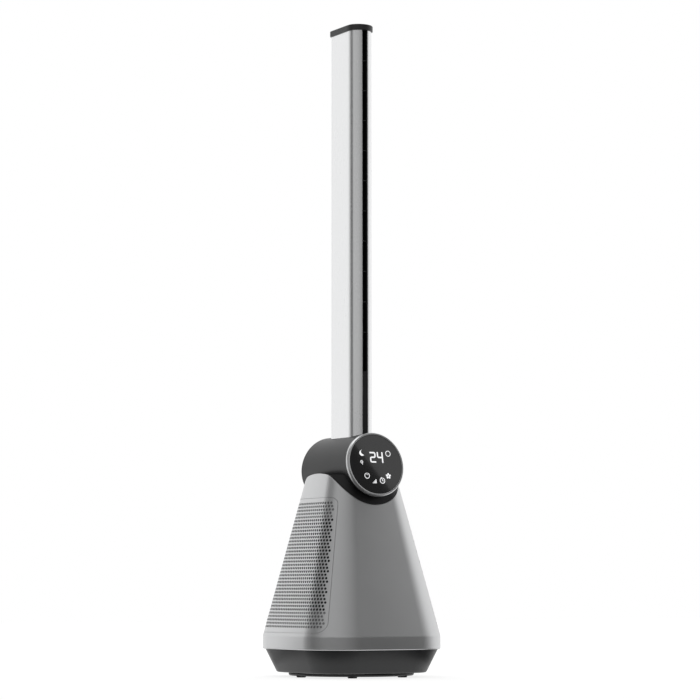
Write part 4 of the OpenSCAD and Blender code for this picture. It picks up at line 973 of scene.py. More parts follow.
# %% Foot plate and pads
plate_low, hub_top = (corner[2] for corner in node_box("foot_plate"))
plate_top = plate_low + 3.4
FOOT_RADIUS = 92.0
HUB_INNER, HUB_OUTER = 7.0, 14.0
PAD_RADIUS, PAD_SUNK, PADS = 6.75, 1.2, 6
pad_circle = FOOT_RADIUS - PAD_RADIUS - 0.4
pad_angles = [math.radians(-90 + (i + 0.5) * 360 / PADS) for i in range(PADS)]
pad_spots = [(pad_circle * math.cos(a), pad_circle * math.sin(a), 0) for a in pad_angles]
plate = turned("foot_plate_look", [
    (HUB_INNER, plate_low, 0.4), (FOOT_RADIUS - 1.5, plate_low, 0.4), (FOOT_RADIUS, plate_low + 1.7, 0.4),
    (FOOT_RADIUS, plate_top, 0.5), (HUB_OUTER, plate_top, 0.5), (HUB_OUTER, hub_top, 0.5),
    (HUB_INNER, hub_top, 0.4)], 192)
unturned = [(0, 0, 0)] * PADS
socket = post("socket", PAD_RADIUS + 0.05, -2, plate_low + PAD_SUNK)
cut(plate, repeated("pad_sockets", socket, pad_spots, unturned))
dress(plate, "foot", "black_plastic", "foot_plate")
pad = rod("pad", PAD_RADIUS, 0, plate_low + PAD_SUNK, 48, (0.7, 0.2))
pads = repeated("foot_pads_look", pad, pad_spots, unturned, finishes["rubber"])
dress(pads, "foot", "rubber", "foot_pads")

# %% [markdown]
# ## Screws
#
# The four screws that hold the base sit at the bottom of deep wells under the pan. Their
# heads look down, with a cross recess.

# %% Base screws
HEAD_RADIUS, HEAD_HEIGHT = 3.8, 2.6
SHANK_RADIUS, SCREW_LENGTH = 2.0, 14.3
RECESS_REACH, RECESS_HALF = HEAD_RADIUS * 0.62, 0.5
screw = turned("base_screw", [
    (0, -SCREW_LENGTH, 0), (SHANK_RADIUS, -SCREW_LENGTH, 0.4), (SHANK_RADIUS, -HEAD_HEIGHT, 0.05),
    (HEAD_RADIUS, -HEAD_HEIGHT, 0.3), (HEAD_RADIUS, 0, 0.6), (0, 0, 0)], 32, False)
for x, y in ((RECESS_HALF, RECESS_REACH), (RECESS_REACH, RECESS_HALF)):
    cut(screw, block("slot", (-x, -y, -HEAD_HEIGHT * 0.6), (x, y, 1)))
screw_places = [(sx * BASE_SCREW, sy * BASE_SCREW, SCREW_SEAT - HEAD_HEIGHT) for sx, sy in CORNERS]
base_screws = repeated("base_screws_look", screw, screw_places, [(math.pi, 0, 0)] * 4, finishes["zinc_steel"])
dress(base_screws, "tower", "zinc_steel", "base_screws")

# %% [markdown]
# ## The cradle
#
# Between the silver saddle and the barrel shows a dark face, set back a little. It belongs
# to the cradle that holds the barrel: a thin band under the barrel with a face at the front
# and the back. Its face follows the slope, so it starts as a block of the slope, set in,
# and is cut by the two cylinders.

# %% The barrel's cradle
CRADLE_SET_IN, CRADLE_FACE = 1.2, 5.0
BAND = 3.2
BED_RADIUS = barrel_radius + 0.3
RISER_WAY = 32.3
BARREL_SCREW, BARREL_SCREW_WAY = 44.35, 1.55
FAR = 150.0


def cut_ways(obj, riser_low, riser_high, screw_low, screw_high):
    """Cuts the air's way up into the barrel and the ways of the barrel's two screws."""
    cut(obj, post("riser_way", RISER_WAY, riser_low, riser_high, sides=96))
    for side in (1, -1):
        cut(obj, post("screw_way", BARREL_SCREW_WAY, screw_low, screw_high, (0, side * BARREL_SCREW), 16))


cradle_low = barrel_height - saddle_radius - 4
cradle = slope_solid("barrel_cradle_look", CRADLE_SET_IN, cradle_low, crest - 4)
cut(cradle, bar_along_y("outer", saddle_radius - 0.3, -FAR, FAR), "INTERSECT")
cut(cradle, bar_along_y("bed", BED_RADIUS, -FAR, FAR))
room = slope_solid("room", CRADLE_SET_IN + CRADLE_FACE, cradle_low - 20, crest + 2)
cut(room, bar_along_y("band", BED_RADIUS + BAND, -FAR, FAR))
cut(cradle, room)
cut_ways(cradle, cradle_low - 10, crest + 30, cradle_low - 10, crest)
dress(cradle, "tower", "black_plastic", "barrel_cradle")

# %% [markdown]
# ## The barrel
#
# The barrel is a level tube. Its front end leans back to take the display, and its rear
# end leans forward, so each point of a rim has its own depth, worked out from the leaning
# plane. The column comes down through its top and the air comes up through its underside.

# %% The barrel's tube
rear_cap_thick = 3.0
RING_DEPTH = 5.5
rear_cos, rear_sin = math.cos(rear_lean), math.sin(rear_lean)
FRONT_END, REAR_END = [0, -lean_cos, lean_sin], [0, rear_cos, rear_sin]
barrel_angles = np.arange(192) * 2 * math.pi / 192
across, up = np.cos(barrel_angles), np.sin(barrel_angles)
outward = np.column_stack([across, 0 * across, up])


def barrel_ring(radius, depth, outwards, endwards, front=False):
    """A circle on the barrel's axis, at a depth inside its leaning front or rear face. The
    two weights say how much it faces outwards and towards that end."""
    end = np.array(FRONT_END if front else REAR_END)
    cos_lean, sin_lean = abs(end[1]), end[2]
    y = (display_front if front else barrel_rear) - (depth + sin_lean * radius * up) / cos_lean
    return (np.column_stack([radius * across, -y if front else y, barrel_height + radius * up]),
            unit(outwards * outward + endwards * end))


def make_barrel():
    edge, inner = 0.4, barrel_radius - barrel_wall
    rim = [(inner, edge, -1, 0), (inner + edge, 0, 0, 1), (barrel_radius - edge, 0, 0, 1),
           (barrel_radius - edge / 4, edge / 4, 1, 1), (barrel_radius, edge, 1, 0)]
    rings = [barrel_ring(r, RING_DEPTH + depth, out, end, True) for r, depth, out, end in rim]
    rings += [barrel_ring(r, rear_cap_thick + depth, out, end) for r, depth, out, end in reversed(rim)]
    return lofted("barrel_shell_look", rings, closed=True)


barrel = make_barrel()
cut_ways(barrel, barrel_height - 70, barrel_height, barrel_height - 60, barrel_height - barrel_radius + 2)
print("barrel made")

# %% [markdown]
# ## The column
#
# The column's section has two flat sides, a rounded front, and small round corners at the
# back. The side runs softly into the front, which shows as a dark band of reflection on the
# corner. The section is written as a path from one side of the air slot, round the back, to
# the other side, with the direction that each point faces.

# %% The column's section
column_half = 18.6
column_front = -40.6
column_nose = 13.0
column_rear = 29.5
rear_round = 4.0
column_wall = 1.8
nose_radius = (column_half ** 2 + column_nose ** 2) / (2 * column_nose)
nose_middle = column_front + nose_radius
SOFT_SIDE = -20.0
SOFT_ANGLE = math.radians(52.5)
SIDE_FLAT = 8.0
SLOT_SIDE = 4.6
NOSE_STEPS, REAR_STEPS = 14, 10


def column_path(opening):
    """Half of the column's section, from the front to the middle of the back, on the +X side.
    opening is the distance from the middle at which the front starts."""
    points, facings = [], []
    start = math.asin(opening / nose_radius)
    for i in range(NOSE_STEPS + 1):
        a = start + (SOFT_ANGLE - start) * i / NOSE_STEPS
        points.append((nose_radius * math.sin(a), nose_middle - nose_radius * math.cos(a)))
        facings.append((math.sin(a), -math.cos(a)))
    first = np.array(points[-1])
    run = (column_half - first[0]) / math.cos(SOFT_ANGLE)
    corner = np.array([column_half, first[1] + run * math.sin(SOFT_ANGLE)])
    last = np.array([column_half, SOFT_SIDE])
    for i in range(1, NOSE_STEPS + 1):
        t = i / NOSE_STEPS
        points.append(tuple(bend(t, first, corner, last)))
        step = 2 * (1 - t) * (corner - first) + 2 * t * (last - corner)
        step = step / np.linalg.norm(step)
        facings.append((step[1], -step[0]))
    for y in (-SIDE_FLAT, SIDE_FLAT):
        points.append((column_half, y))
        facings.append((1, 0))
    for i in range(REAR_STEPS + 1):
        a = math.pi / 2 * i / REAR_STEPS
        points.append((column_half - rear_round + rear_round * math.cos(a),
                       column_rear - rear_round + rear_round * math.sin(a)))
        facings.append((math.cos(a), math.sin(a)))
    return np.array(points), np.array(facings)


def whole_path(opening):
    """The whole section, anticlockwise. With no opening it is closed at the front."""
    points, facings = column_path(opening)
    last = None if opening else -1
    other = points[::-1][:last] * [-1, 1], facings[::-1][:last] * [-1, 1]
    return np.vstack([points, other[0]]), np.vstack([facings, other[1]])


print("column section points:", len(whole_path(SLOT_SIDE)[0]))

# %% The column's shell
COLUMN_GAP = 0.1


def column_bottom(xy):
    """Where the column meets the barrel's round top."""
    return barrel_height + np.sqrt((barrel_radius + COLUMN_GAP) ** 2 - xy[:, 0] ** 2)


def make_column():
    edge = 0.35
    path, facing = whole_path(SLOT_SIDE + 0.4)
    lip_x = np.array([SLOT_SIDE, SLOT_SIDE + 0.1])
    lip_y = nose_middle - np.sqrt(nose_radius ** 2 - lip_x ** 2)
    lip = np.column_stack([lip_x, lip_y + [0.4, 0.1]])
    lip_facing = np.array([[-1, 0.0], [-0.7, -0.7]])
    path = np.vstack([lip, path, lip[::-1] * [-1, 1]])
    facing = np.vstack([lip_facing, facing, lip_facing[::-1] * [-1, 1]])
    inward = facing.copy()
    inward[:2] = inward[2]
    inward[-2:] = inward[-3]
    inner = path - column_wall * unit(inward)
    inner[0], inner[-1] = (SLOT_SIDE, inner[2][1]), (-SLOT_SIDE, inner[2][1])
    inner[1], inner[-2] = inner[0] + [0.05, 0], inner[-1] - [0.05, 0]
    near, near_in = path - edge * unit(inward), inner + edge * unit(inward)
    facing_out, facing_in = at_height(facing, 0.0), -at_height(inward, 0.0)
    up = np.tile([0.0, 0.0, 1.0], (len(path), 1))
    rings = [(at_height(xy, z), direction) for xy, z, direction in (
        (near, column_bottom(near), -up), (path, column_bottom(path) + edge, facing_out),
        (path, column_top - edge, facing_out), (near, column_top, up), (near_in, column_top, up),
        (inner, column_top - edge, facing_in), (inner, column_bottom(inner) + edge, facing_in),
        (near_in, column_bottom(near_in), -up))]
    return lofted("column_shell_look", rings, closed=True, around=False)


dress(make_column(), "tower", "column_aluminium", "column_shell")

# %% The way for the column through the barrel's top
def column_solid(name, inset, z_low, z_high):
    """A solid of the column's section, set in by some millimetres."""
    path, facing = whole_path(0.0)
    path = path - inset * facing
    return lofted(name, [(at_height(path, z), at_height(facing, 0.0)) for z in (z_low, z_high)])


cut(barrel, column_solid("neck_way", column_wall + 0.15, barrel_height, barrel_height + 60))
dress(barrel, "tower", "dark_plastic", "barrel_shell")

# %% The barrel's rear cap
CAP_LIP_DEPTH, CAP_LIP_WALL = 9.0, 2.5
lip = barrel_radius - barrel_wall
profile, facing = eased([
    (lip - CAP_LIP_WALL, -rear_cap_thick, 0), (lip - CAP_LIP_WALL, -CAP_LIP_DEPTH, 0.3),
    (lip - 0.05, -CAP_LIP_DEPTH, 0.3), (lip - 0.05, -rear_cap_thick, 0.1),
    (barrel_radius, -rear_cap_thick, 0.3), (barrel_radius, 0, 1.0), (barrel_radius - 6, 0, 0)], False)
rear_cap = lofted("barrel_rear_cap_look", [barrel_ring(r, -rise, out, end)
                                           for (r, rise), (out, end) in zip(profile, facing)])
dress(rear_cap, "tower", "dark_plastic", "barrel_rear_cap")

# %% [markdown]
# ## The column's cap
#
# A dark cap closes the column. It stands out a little all round, with a rounded top edge,
# and plugs into the column.

# %% The column's cap
CAP_OUT, CAP_IN = 2.0, 6.0
PLUG_WALL, PLUG_DEPTH = 2.4, 8.0
PLUG_GAP = column_wall + 0.3
STRIP_ROOM_HALF, STRIP_ROOM_BACK = 8.2, -23.3


def slab(name, half, y_low, y_high, z_low, z_high):
    """A block across the fan's middle."""
    return block(name, (-half, y_low, z_low), (half, y_high, z_high))


def make_cap():
    path, facing = whole_path(0.0)
    profile, turn = eased([
        (CAP_OUT - CAP_IN, column_top, 0), (CAP_OUT, column_top, 0.4), (CAP_OUT, cap_top, 1.3),
        (CAP_OUT - CAP_IN, cap_top, 0)], False, 5)
    return lofted("column_cap_look", [(at_height(path + out * facing, z), at_height(side * facing, rise))
                                      for (out, z), (side, rise) in zip(profile, turn)])


cap = make_cap()
plug = column_solid("plug", PLUG_GAP, column_top - PLUG_DEPTH, column_top + 1)
cut(plug, column_solid("plug_room", PLUG_GAP + PLUG_WALL, column_top - PLUG_DEPTH - 2, column_top))
cut(plug, slab("strip_room", STRIP_ROOM_HALF, -60, STRIP_ROOM_BACK, column_top - PLUG_DEPTH - 4, column_top))
cut(cap, plug, "UNION")
dress(cap, "tower", "dark_plastic", "column_cap")

# %% [markdown]
# ## The air outlet
#
# A dark strip fills the column's open front. Its lower part is plain, and above that a slot
# runs up to the cap between two cheeks, with thin fins across it that steady the air.

# %% The outlet strip
SLOT_LENGTH = 510.0
strip_half, slot_half = 4.5, 3.2
strip_front = column_front + 1.0
strip_back = column_front + 17.0
slot_top = column_top - 1.0
slot_low = slot_top - SLOT_LENGTH
flange_half = strip_half + 3.4
flange_y = nose_middle - math.sqrt((nose_radius - column_wall) ** 2 - flange_half ** 2) + 0.3
FINS, FIN_STEP, FIN_THICK = 10, 45.2, 1.2


def with_soft_edges(obj, width):
    """A small bevel on a block's sharp edges, shaded so that the flats stay flat."""
    if obj.data.attributes.get(FACING):
        obj.data.attributes.remove(obj.data.attributes[FACING])
    obj.data.polygons.foreach_set("use_smooth", np.ones(len(obj.data.polygons), bool))
    bevel = obj.modifiers.new("soft edges", "BEVEL")
    bevel.width, bevel.segments = width * MM, 2
    bevel.limit_method, bevel.angle_limit = "ANGLE", math.radians(40)
    bevel.harden_normals = True
    return bake_modifiers(obj)


strip = slab("outlet_strip_look", strip_half, strip_front, flange_y + 2, strip_low, strip_top)
cut(strip, slab("flange", flange_half, flange_y, flange_y + 2, strip_low, strip_top), "UNION")
cut(strip, slab("cheeks", strip_half, strip_front + 1, strip_back, slot_low, strip_top), "UNION")
cut(strip, slab("slot", slot_half, strip_front - 5, strip_back + 5, slot_low, slot_top))
dress(with_soft_edges(strip, 0.3), "tower", "black_plastic", "outlet_strip")
fin = slab("fin", slot_half + 0.1, strip_front + 1.2, strip_back, -FIN_THICK / 2, FIN_THICK / 2)
fin_places = [(0, 0, slot_top - FIN_STEP * (i + 1)) for i in range(FINS)]
fins = repeated("outlet_fins_look", with_soft_edges(fin, 0.25), fin_places, [(0, 0, 0)] * FINS,
                finishes["black_plastic"])
dress(fins, "tower", "dark_plastic")

# %% [markdown]
# ## The display
#
# The barrel's front end carries a silver ring round a black glass disc, leaning back a
# little. Both are turned shapes, made flat and then set on the display's plane.

# %% Ring and glass
RING_OUTER = barrel_radius + 3.0
GLASS_RADIUS = RING_OUTER - 3.6
GLASS_LOW, GLASS_TOP = -2.4, -0.4
RING_INNER = GLASS_RADIUS - 6.0
ring_lip = GLASS_RADIUS + 0.15

ring = turned("display_ring_look", [
    (RING_INNER, -RING_DEPTH, 0.3), (RING_OUTER, -RING_DEPTH, 0.4), (RING_OUTER, -1.8, 0.8),
    (RING_OUTER - 1.4, 0.5, 0.5), (ring_lip, 0.1, 0.3), (ring_lip, GLASS_LOW, 0.1),
    (RING_INNER, GLASS_LOW, 0.3)], 256, steps=4)
glass = rod("display_glass_look", GLASS_RADIUS, GLASS_LOW, GLASS_TOP, 256, (0.1, 0.35))
dress(placed(ring, ON_DISPLAY, DISPLAY_AT), "tower", "silver_plastic", "display_ring")
dress(placed(glass, ON_DISPLAY, DISPLAY_AT), "tower", "dark_glass", "display_glass")

# %% [markdown]
# The legend is printed light on the glass: a two-digit number and small signs for night,
# air, timer, power, speed, swing and fan. Each sign is made of flat outlines, some with a
# hole. A line is an outline too: its middle line, moved half the line's width to each side.
# A 2D curve fills them and gives them a hair of thickness.

# %% Flat outlines
def circle(radius, start=0.0, sweep=360.0, at=(0, 0)):
    """Points of a circle, or of a part of one."""
    whole = sweep >= 360
    count = 40 if whole else max(8, int(40 * sweep / 360))
    angles = np.radians(start + sweep * np.arange(count) / (count if whole else count - 1))
    return np.column_stack([at[0] + radius * np.cos(angles), at[1] + radius * np.sin(angles)])


def line_along(corners, width, rounding=1.4, steps=6):
    """A line of some width through some corners, which are rounded, as one outline."""
    corners = np.array(corners, float)
    middle = [corners[0]]
    for back, at, ahead in zip(corners, corners[1:], corners[2:]):
        to_back, to_ahead = unit(np.array([back - at, ahead - at]))
        for i in range(steps + 1):
            middle.append(bend(i / steps, at + rounding * to_back, at, at + rounding * to_ahead))
    middle = np.array(middle + [corners[-1]])
    along = unit(np.gradient(middle, axis=0))
    side = np.column_stack([-along[:, 1], along[:, 0]]) * width / 2
    return [[np.vstack([middle - side, (middle + side)[::-1]])]]


def mirrored_edge(side):
    """The outline of a leaf or petal, whose other side mirrors this one."""
    return np.vstack([side, side[::-1][1:-1] * [1, -1]])


def moved(loops, x=0.0, y=0.0, turn=0.0):
    c, s = math.cos(math.radians(turn)), math.sin(math.radians(turn))
    return [[np.asarray(loop) @ [[c, s], [-s, c]] + [x, y] for loop in piece] for piece in loops]


# %% Digits and signs, each a list of outlines with their holes
DIGIT_HIGH, DIGIT_WIDE, LINE = 16.0, 10.0, 2.1
DIGIT_ROUND = 2.4
FINE_LINE = 1.0
high, wide = (DIGIT_HIGH - LINE) / 2, (DIGIT_WIDE - LINE) / 2
end = LINE / 2


def two():
    return line_along([(-wide - end, high), (wide, high), (wide, 0), (-wide, 0), (-wide, -high),
                       (wide + end, -high)], LINE, DIGIT_ROUND)


def four():
    return (line_along([(-wide, high + end), (-wide, 0), (wide - 0.6, 0)], LINE, DIGIT_ROUND)
            + line_along([(wide, high + end), (wide, -high - end)], LINE))


def hoop(start=0.0, sweep=360.0, width=FINE_LINE):
    outer, inner = (circle(radius, start, sweep) for radius in (4.4, 4.4 - width))
    return [[outer, inner]] if sweep >= 360 else [[np.vstack([outer, inner[::-1]])]]


def moon():
    return [[np.vstack([circle(4.3, 80, 236), circle(3.9, 126, 128, (2.3, 1.9))[::-1]])]]


def leaf():
    reach = np.linspace(0, 1, 13)
    edge = mirrored_edge(np.column_stack([5.6 * reach, 2.3 * np.sin(math.pi * reach)]))
    inner = (edge - [2.8, 0]) * [0.72, 0.62] + [2.8, 0]
    return moved([[edge, inner]], -1.0, -2.6, 75) + line_along([(-0.2, 1.2), (0.9, -4.2)], 0.7)


def clock():
    return hoop() + line_along([(0, 2.6), (0, -0.4), (2.2, 1.0)], FINE_LINE, 0.8)


def power():
    return hoop(118, 304, 0.95) + line_along([(0, 1.0), (0, 4.5)], 0.95)


def speed():
    return [bar for x in (-3.0, -1.2, 0.6, 2.4)
            for bar in line_along([(x, -3.4), (x, -2.6 + (x + 3) * 0.95)], 1.25)]


def swing():
    arrow = np.array([(-1.5, 0), (1.5, 0), (0, 2.3)])
    return (hoop(118, 330) + moved([[arrow]], -0.6, 3.9, 90)
            + line_along([(0, 2.4), (0, -0.3), (2.0, -0.3)], FINE_LINE, 0.8))


def fan():
    reach = np.linspace(0, 1, 11)
    petal = mirrored_edge(np.column_stack([0.8 + 3.7 * reach, 1.5 * np.sin(math.pi * reach) ** 0.7]))
    return [piece for i in range(5) for piece in moved([[petal]], turn=90 + 72 * i)]


LEGEND = [(two, -4.0, 10.3), (four, 8.3, 10.3), (moon, -21.9, 16.2), (leaf, -23.5, 3.0), (clock, 22.6, 16.4),
          (power, -16.9, -17.5), (speed, -5.0, -25.1), (swing, 8.4, -24.4), (fan, 19.4, -17.2)]
print("signs on the glass:", len(LEGEND))

# %% The legend
LEGEND_HEIGHT = 0.12


def flat_piece(name, loops):
    """One outline with its holes, as a thin solid."""
    flat = bpy.data.curves.new(name, "CURVE")
    flat.dimensions = "2D"
    flat.fill_mode = "BOTH"
    flat.extrude = LEGEND_HEIGHT / 2 * MM
    for loop in loops:
        spline = flat.splines.new("POLY")
        spline.points.add(len(loop) - 1)
        for point, (x, y) in zip(spline.points, loop):
            point.co = (x * MM, y * MM, 0, 1)
        spline.use_cyclic_u = True
    curve = add_object(name, flat)
    bpy.context.view_layer.update()
    mesh = bpy.data.meshes.new_from_object(curve.evaluated_get(bpy.context.evaluated_depsgraph_get()))
    bpy.data.objects.remove(curve)
    edit = bmesh.new()
    edit.from_mesh(mesh)
    bmesh.ops.remove_doubles(edit, verts=edit.verts, dist=1e-7)
    bmesh.ops.recalc_face_normals(edit, faces=edit.faces)
    edit.to_mesh(mesh)
    edit.free()
    return add_object(name, mesh)


def make_legend():
    pieces = [flat_piece("sign", loops) for sign, x, y in LEGEND for loops in moved(sign(), x, y)]
    whole = pieces[0]
    for piece in pieces[1:]:
        cut(whole, piece, "UNION")
    whole.name = "display_legend_look"
    rise = LEGEND_HEIGHT / 2 + GLASS_TOP
    return placed(whole, ON_DISPLAY, np.array(DISPLAY_AT) + rise * np.array(FRONT_END))


# The legend's finish glows, a painted glow on the printed signs.
dress(settle_shading(make_legend()), "tower", "legend_white", "display_legend")

# %% [markdown]
# ## The inner pieces
#
# The motor, the impeller, the gears and the boards keep their CAD meshes. Each takes the
# finish of its own material slot.

# %% Finishes on the CAD nodes
inner_finish = {
    "white_acetal": "glide_washer swing_gear swing_pinion",
    "zinc_steel": "pivot_retainer retainer_screws swing_bracket swing_motor bracket_screws board_screws "
                  "housing_screws motor_cover impeller_nut barrel_screws",
    "circuit_board": "power_board display_board",
    "housing_plastic": "fan_housing intake_ring diffuser motor_nose riser_duct",
    "copper_winding": "motor_stator",
    "bearing_steel": "lower_bearing upper_bearing motor_rotor motor_shaft",
    "impeller_plastic": "impeller",
    "rubber": "duct_gasket",
    "black_plastic": "column_neck display_carrier",
}
inner_slots = {name: slot for slot, names in inner_finish.items() for name in names.split()}
for name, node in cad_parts.items():
    if name in inner_slots:
        node.data.materials.clear()
        node.data.materials.append(finishes[inner_slots[name]])
    elif not node.hide_render:
        print("left as it is:", name)
print("inner nodes finished:", len(inner_slots))

# %% [markdown]
# ## Floor, light and camera
#
# The photograph is a studio picture on white, and the fan's silver mirrors the studio: it is
# bright behind and beside the fan, and dimmer in front. The world and the floor are white,
# also in reflections. A dim screen stands round the front, and a dim sheet lies on the floor
# there. The camera sees neither of them, but the fan mirrors them.

# %% The world and the floor
FLOOR_HALF = 6.0
FLOOR_PLAIN, FLOOR_SEEN, FLOOR_GLOW = 0.45, 0.3, 0.82


def empty_tree(owner):
    """The node tree of a material or a world, with nothing in it."""
    owner.use_nodes = True
    owner.node_tree.nodes.clear()
    return owner.node_tree


def make_world():
    world = bpy.data.worlds.new("studio")
    scene.world = world
    tree = empty_tree(world)
    white = add_node(tree, "ShaderNodeBackground", {"Color": grey(1), "Strength": 1.0})
    add_node(tree, "ShaderNodeOutputWorld", {0: white.outputs[0]})


def make_floor():
    half = FLOOR_HALF / MM
    floor = mesh_from("floor", [(-half, -half, 0), (half, -half, 0), (half, half, 0), (-half, half, 0)],
                      [(0, 1, 2, 3)])
    material = bpy.data.materials.new("floor_white")
    tree = empty_tree(material)
    rays = add_node(tree, "ShaderNodeLightPath").outputs
    seen = rays["Is Camera Ray"]
    for ray in ("Is Glossy Ray", "Is Transmission Ray"):
        seen = math_node(tree, "MAXIMUM", seen, rays[ray])
    plain = add_node(tree, "ShaderNodeBsdfDiffuse", {"Color": grey(FLOOR_PLAIN)})
    shaded = add_node(tree, "ShaderNodeBsdfDiffuse", {"Color": grey(FLOOR_SEEN)})
    glow = add_node(tree, "ShaderNodeEmission", {"Strength": FLOOR_GLOW})
    both = add_node(tree, "ShaderNodeAddShader", {0: shaded.outputs[0], 1: glow.outputs[0]})
    mix = add_node(tree, "ShaderNodeMixShader", {0: seen, 1: plain.outputs[0], 2: both.outputs[0]})
    add_node(tree, "ShaderNodeOutputMaterial", {0: mix.outputs[0]})
    floor.data.materials.append(material)


make_world()
make_floor()
scene.view_settings.view_transform = "Standard"
print("world and floor ready")

# %% The dim screen in front
# Levels by the angle round the fan, in degrees: 0 is its left side (-X), 90 its front (-Y).
# The sheet's levels turn into the low ones, and those into the high ones, with the rise of the
# direction in which a point lies from the screen's middle.
SHEET_LEVELS = [(-50, 0.7), (-24, 0.24), (5, 0.08), (45, 0.03), (100, 0.02), (135, 0.05), (165, 0.8)]
LOW_LEVELS = [(-50, 0.95), (-32, 0.3), (-24, 0.12), (-8, 0.12), (16, 0.52), (60, 0.5), (85, 0.38),
              (105, 0.2), (128, 0.19), (142, 0.3), (165, 0.95)]
HIGH_LEVELS = [(-50, 0.95), (-32, 0.35), (-24, 0.16), (-8, 0.16), (16, 0.48), (50, 0.42), (85, 0.3),
               (105, 0.155), (128, 0.15), (142, 0.28), (165, 0.95)]
SHEET_TO_LOW, LOW_TO_HIGH = (-0.12, -0.05), (0.3, 0.45)
SCREEN_MIDDLE = 0.3
SCREEN_RADIUS = 3.0
SCREEN_TURNS = np.radians(np.linspace(-50, 165, 44))
SCREEN_RISES = np.radians(np.linspace(-5.6, 88, 20))
SHEET_RISE = 0.004
SHEET_RADII = (0.14, 0.4, 1.0, 2.0, 2.98)


def screen_material():
    material = bpy.data.materials.new("studio_screen")
    tree = empty_tree(material)
    where = add_node(tree, "ShaderNodeTexCoord").outputs["Object"]
    from_middle = add_node(tree, "ShaderNodeVectorMath", {0: where, 1: (0, 0, SCREEN_MIDDLE)},
                           operation="SUBTRACT")
    toward = add_node(tree, "ShaderNodeVectorMath", {0: from_middle.outputs[0]}, operation="NORMALIZE")
    apart = add_node(tree, "ShaderNodeSeparateXYZ", {0: toward.outputs[0]}).outputs
    left, front = (math_node(tree, "MULTIPLY", apart[axis], -1.0) for axis in "XY")
    turns = math_node(tree, "DIVIDE", math_node(tree, "ARCTAN2", front, left), 2 * math.pi)
    place = math_node(tree, "ADD", turns, 0.5)

    def ramp(levels):
        node = add_node(tree, "ShaderNodeValToRGB", {0: place})
        node.color_ramp.interpolation = "EASE"
        elements = node.color_ramp.elements
        elements.remove(elements[-1])
        for i, (degrees, level) in enumerate(levels):
            element = elements.new(0.5 + degrees / 360) if i else elements[0]
            element.position = 0.5 + degrees / 360
            element.color = grey(level)
        return node.outputs[0]

    def blended(below, above, start, end):
        height = add_node(tree, "ShaderNodeMapRange", {
            "Value": apart["Z"], "From Min": start, "From Max": end})
        return add_node(tree, "ShaderNodeMix", {0: height.outputs[0], 6: below, 7: above},
                        data_type="RGBA").outputs[2]

    low = blended(ramp(SHEET_LEVELS), ramp(LOW_LEVELS), *SHEET_TO_LOW)
    glow = add_node(tree, "ShaderNodeEmission", {"Color": blended(low, ramp(HIGH_LEVELS), *LOW_TO_HIGH)})
    add_node(tree, "ShaderNodeOutputMaterial", {0: glow.outputs[0]})
    return material


def out_of_sight(obj, material, lights_up):
    """An object that only the fan's reflections see, and its soft light if lights_up."""
    obj.data.materials.append(material)
    obj.visible_camera = obj.visible_transmission = obj.visible_shadow = False
    obj.visible_diffuse = lights_up


def make_screen():
    round_fan = at_height(np.column_stack([-np.cos(SCREEN_TURNS), -np.sin(SCREEN_TURNS)]), 0.0)
    material = screen_material()
    wall = np.vstack([SCREEN_RADIUS * (math.cos(r) * round_fan + [0, 0, math.sin(r)]) + [0, 0, SCREEN_MIDDLE]
                      for r in SCREEN_RISES])
    sheet = np.vstack([radius * round_fan + [0, 0, SHEET_RISE] for radius in SHEET_RADII])
    for name, points, rows, lights_up in (("screen", wall, len(SCREEN_RISES), True),
                                          ("sheet", sheet, len(SHEET_RADII), False)):
        out_of_sight(mesh_from(name, points / MM, grid_faces(rows, len(SCREEN_TURNS))), material, lights_up)


make_screen()
print("screen ready")

# %% [markdown]
# The glass of the display mirrors a bright card, whose straight edge splits the glass into a
# dark part and a lighter part. The card's place comes from that mirroring: two points on the
# glass, where the edge should show, are thrown back along the camera's rays.

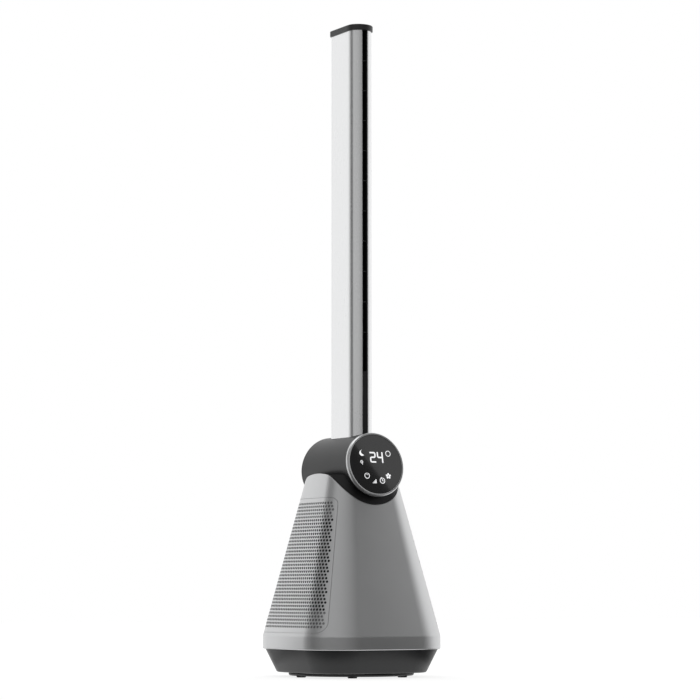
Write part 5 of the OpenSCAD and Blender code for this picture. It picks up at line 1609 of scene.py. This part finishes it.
# %% The card that the glass mirrors
CAMERA_AT = Vector((-1.9285, -3.204, 0.1224))
CARD_AWAY, CARD_LEVEL = 2.0, 0.85
CARD_EDGE = (-33, 29), (21, -39)
CARD_DARK_SIDE, CARD_LIGHT_SIDE = (-6, -5), (30, 20)
CARD_WIDE, CARD_LONGER = 2.6, 0.6


def mirrored(x, y):
    """Where a camera ray that meets the glass at (x, y) goes after CARD_AWAY metres."""
    on_glass = Vector(np.array(ON_DISPLAY) @ [x, y, GLASS_TOP] + DISPLAY_AT) * MM
    return on_glass + (on_glass - CAMERA_AT).normalized().reflect(Vector(FRONT_END)) * CARD_AWAY


def make_card():
    edge = [mirrored(*point) for point in CARD_EDGE]
    far = [corner + (mirrored(*CARD_LIGHT_SIDE) - mirrored(*CARD_DARK_SIDE)) * CARD_WIDE for corner in edge]
    ends = (edge[1] - edge[0]) * CARD_LONGER
    corners = [edge[0] - ends, edge[1] + ends, far[1] + ends, far[0] - ends]
    card = mesh_from("card", np.array(corners) / MM, [(0, 1, 2, 3)])
    material = bpy.data.materials.new("card_white")
    tree = empty_tree(material)
    glow = add_node(tree, "ShaderNodeEmission", {"Strength": CARD_LEVEL})
    add_node(tree, "ShaderNodeOutputMaterial", {0: glow.outputs[0]})
    out_of_sight(card, material, False)
    print("card corners:", [tuple(round(v, 2) for v in corner) for corner in corners])


make_card()

# %% Lamp and camera
LAMP_AT, LAMP_AIM = Vector((-0.4, 0.3, 2.6)), Vector((0, 0, 0.4))
lamp_data = bpy.data.lights.new("overhead", "AREA")
lamp_data.shape = "DISK"
lamp_data.size, lamp_data.energy = 1.6, 9.0
lamp = add_object("overhead", lamp_data)
lamp.location = LAMP_AT
lamp.rotation_euler = (LAMP_AIM - LAMP_AT).to_track_quat("-Z", "Y").to_euler()

camera_data = bpy.data.cameras.new("camera")
camera_data.lens = 129.935
camera_data.sensor_width = 36.0
camera_data.shift_x = 0.0128
camera_data.clip_start, camera_data.clip_end = 0.05, 50.0
camera = add_object("camera", camera_data)
camera.location = CAMERA_AT
camera.rotation_euler = (math.radians(95.487), 0, math.radians(-30.813))
scene.camera = camera
print("camera at", [round(v, 3) for v in camera.location])

# %% The triangle count, and the end
print("triangles on new pieces:", sum(dressed.values()))
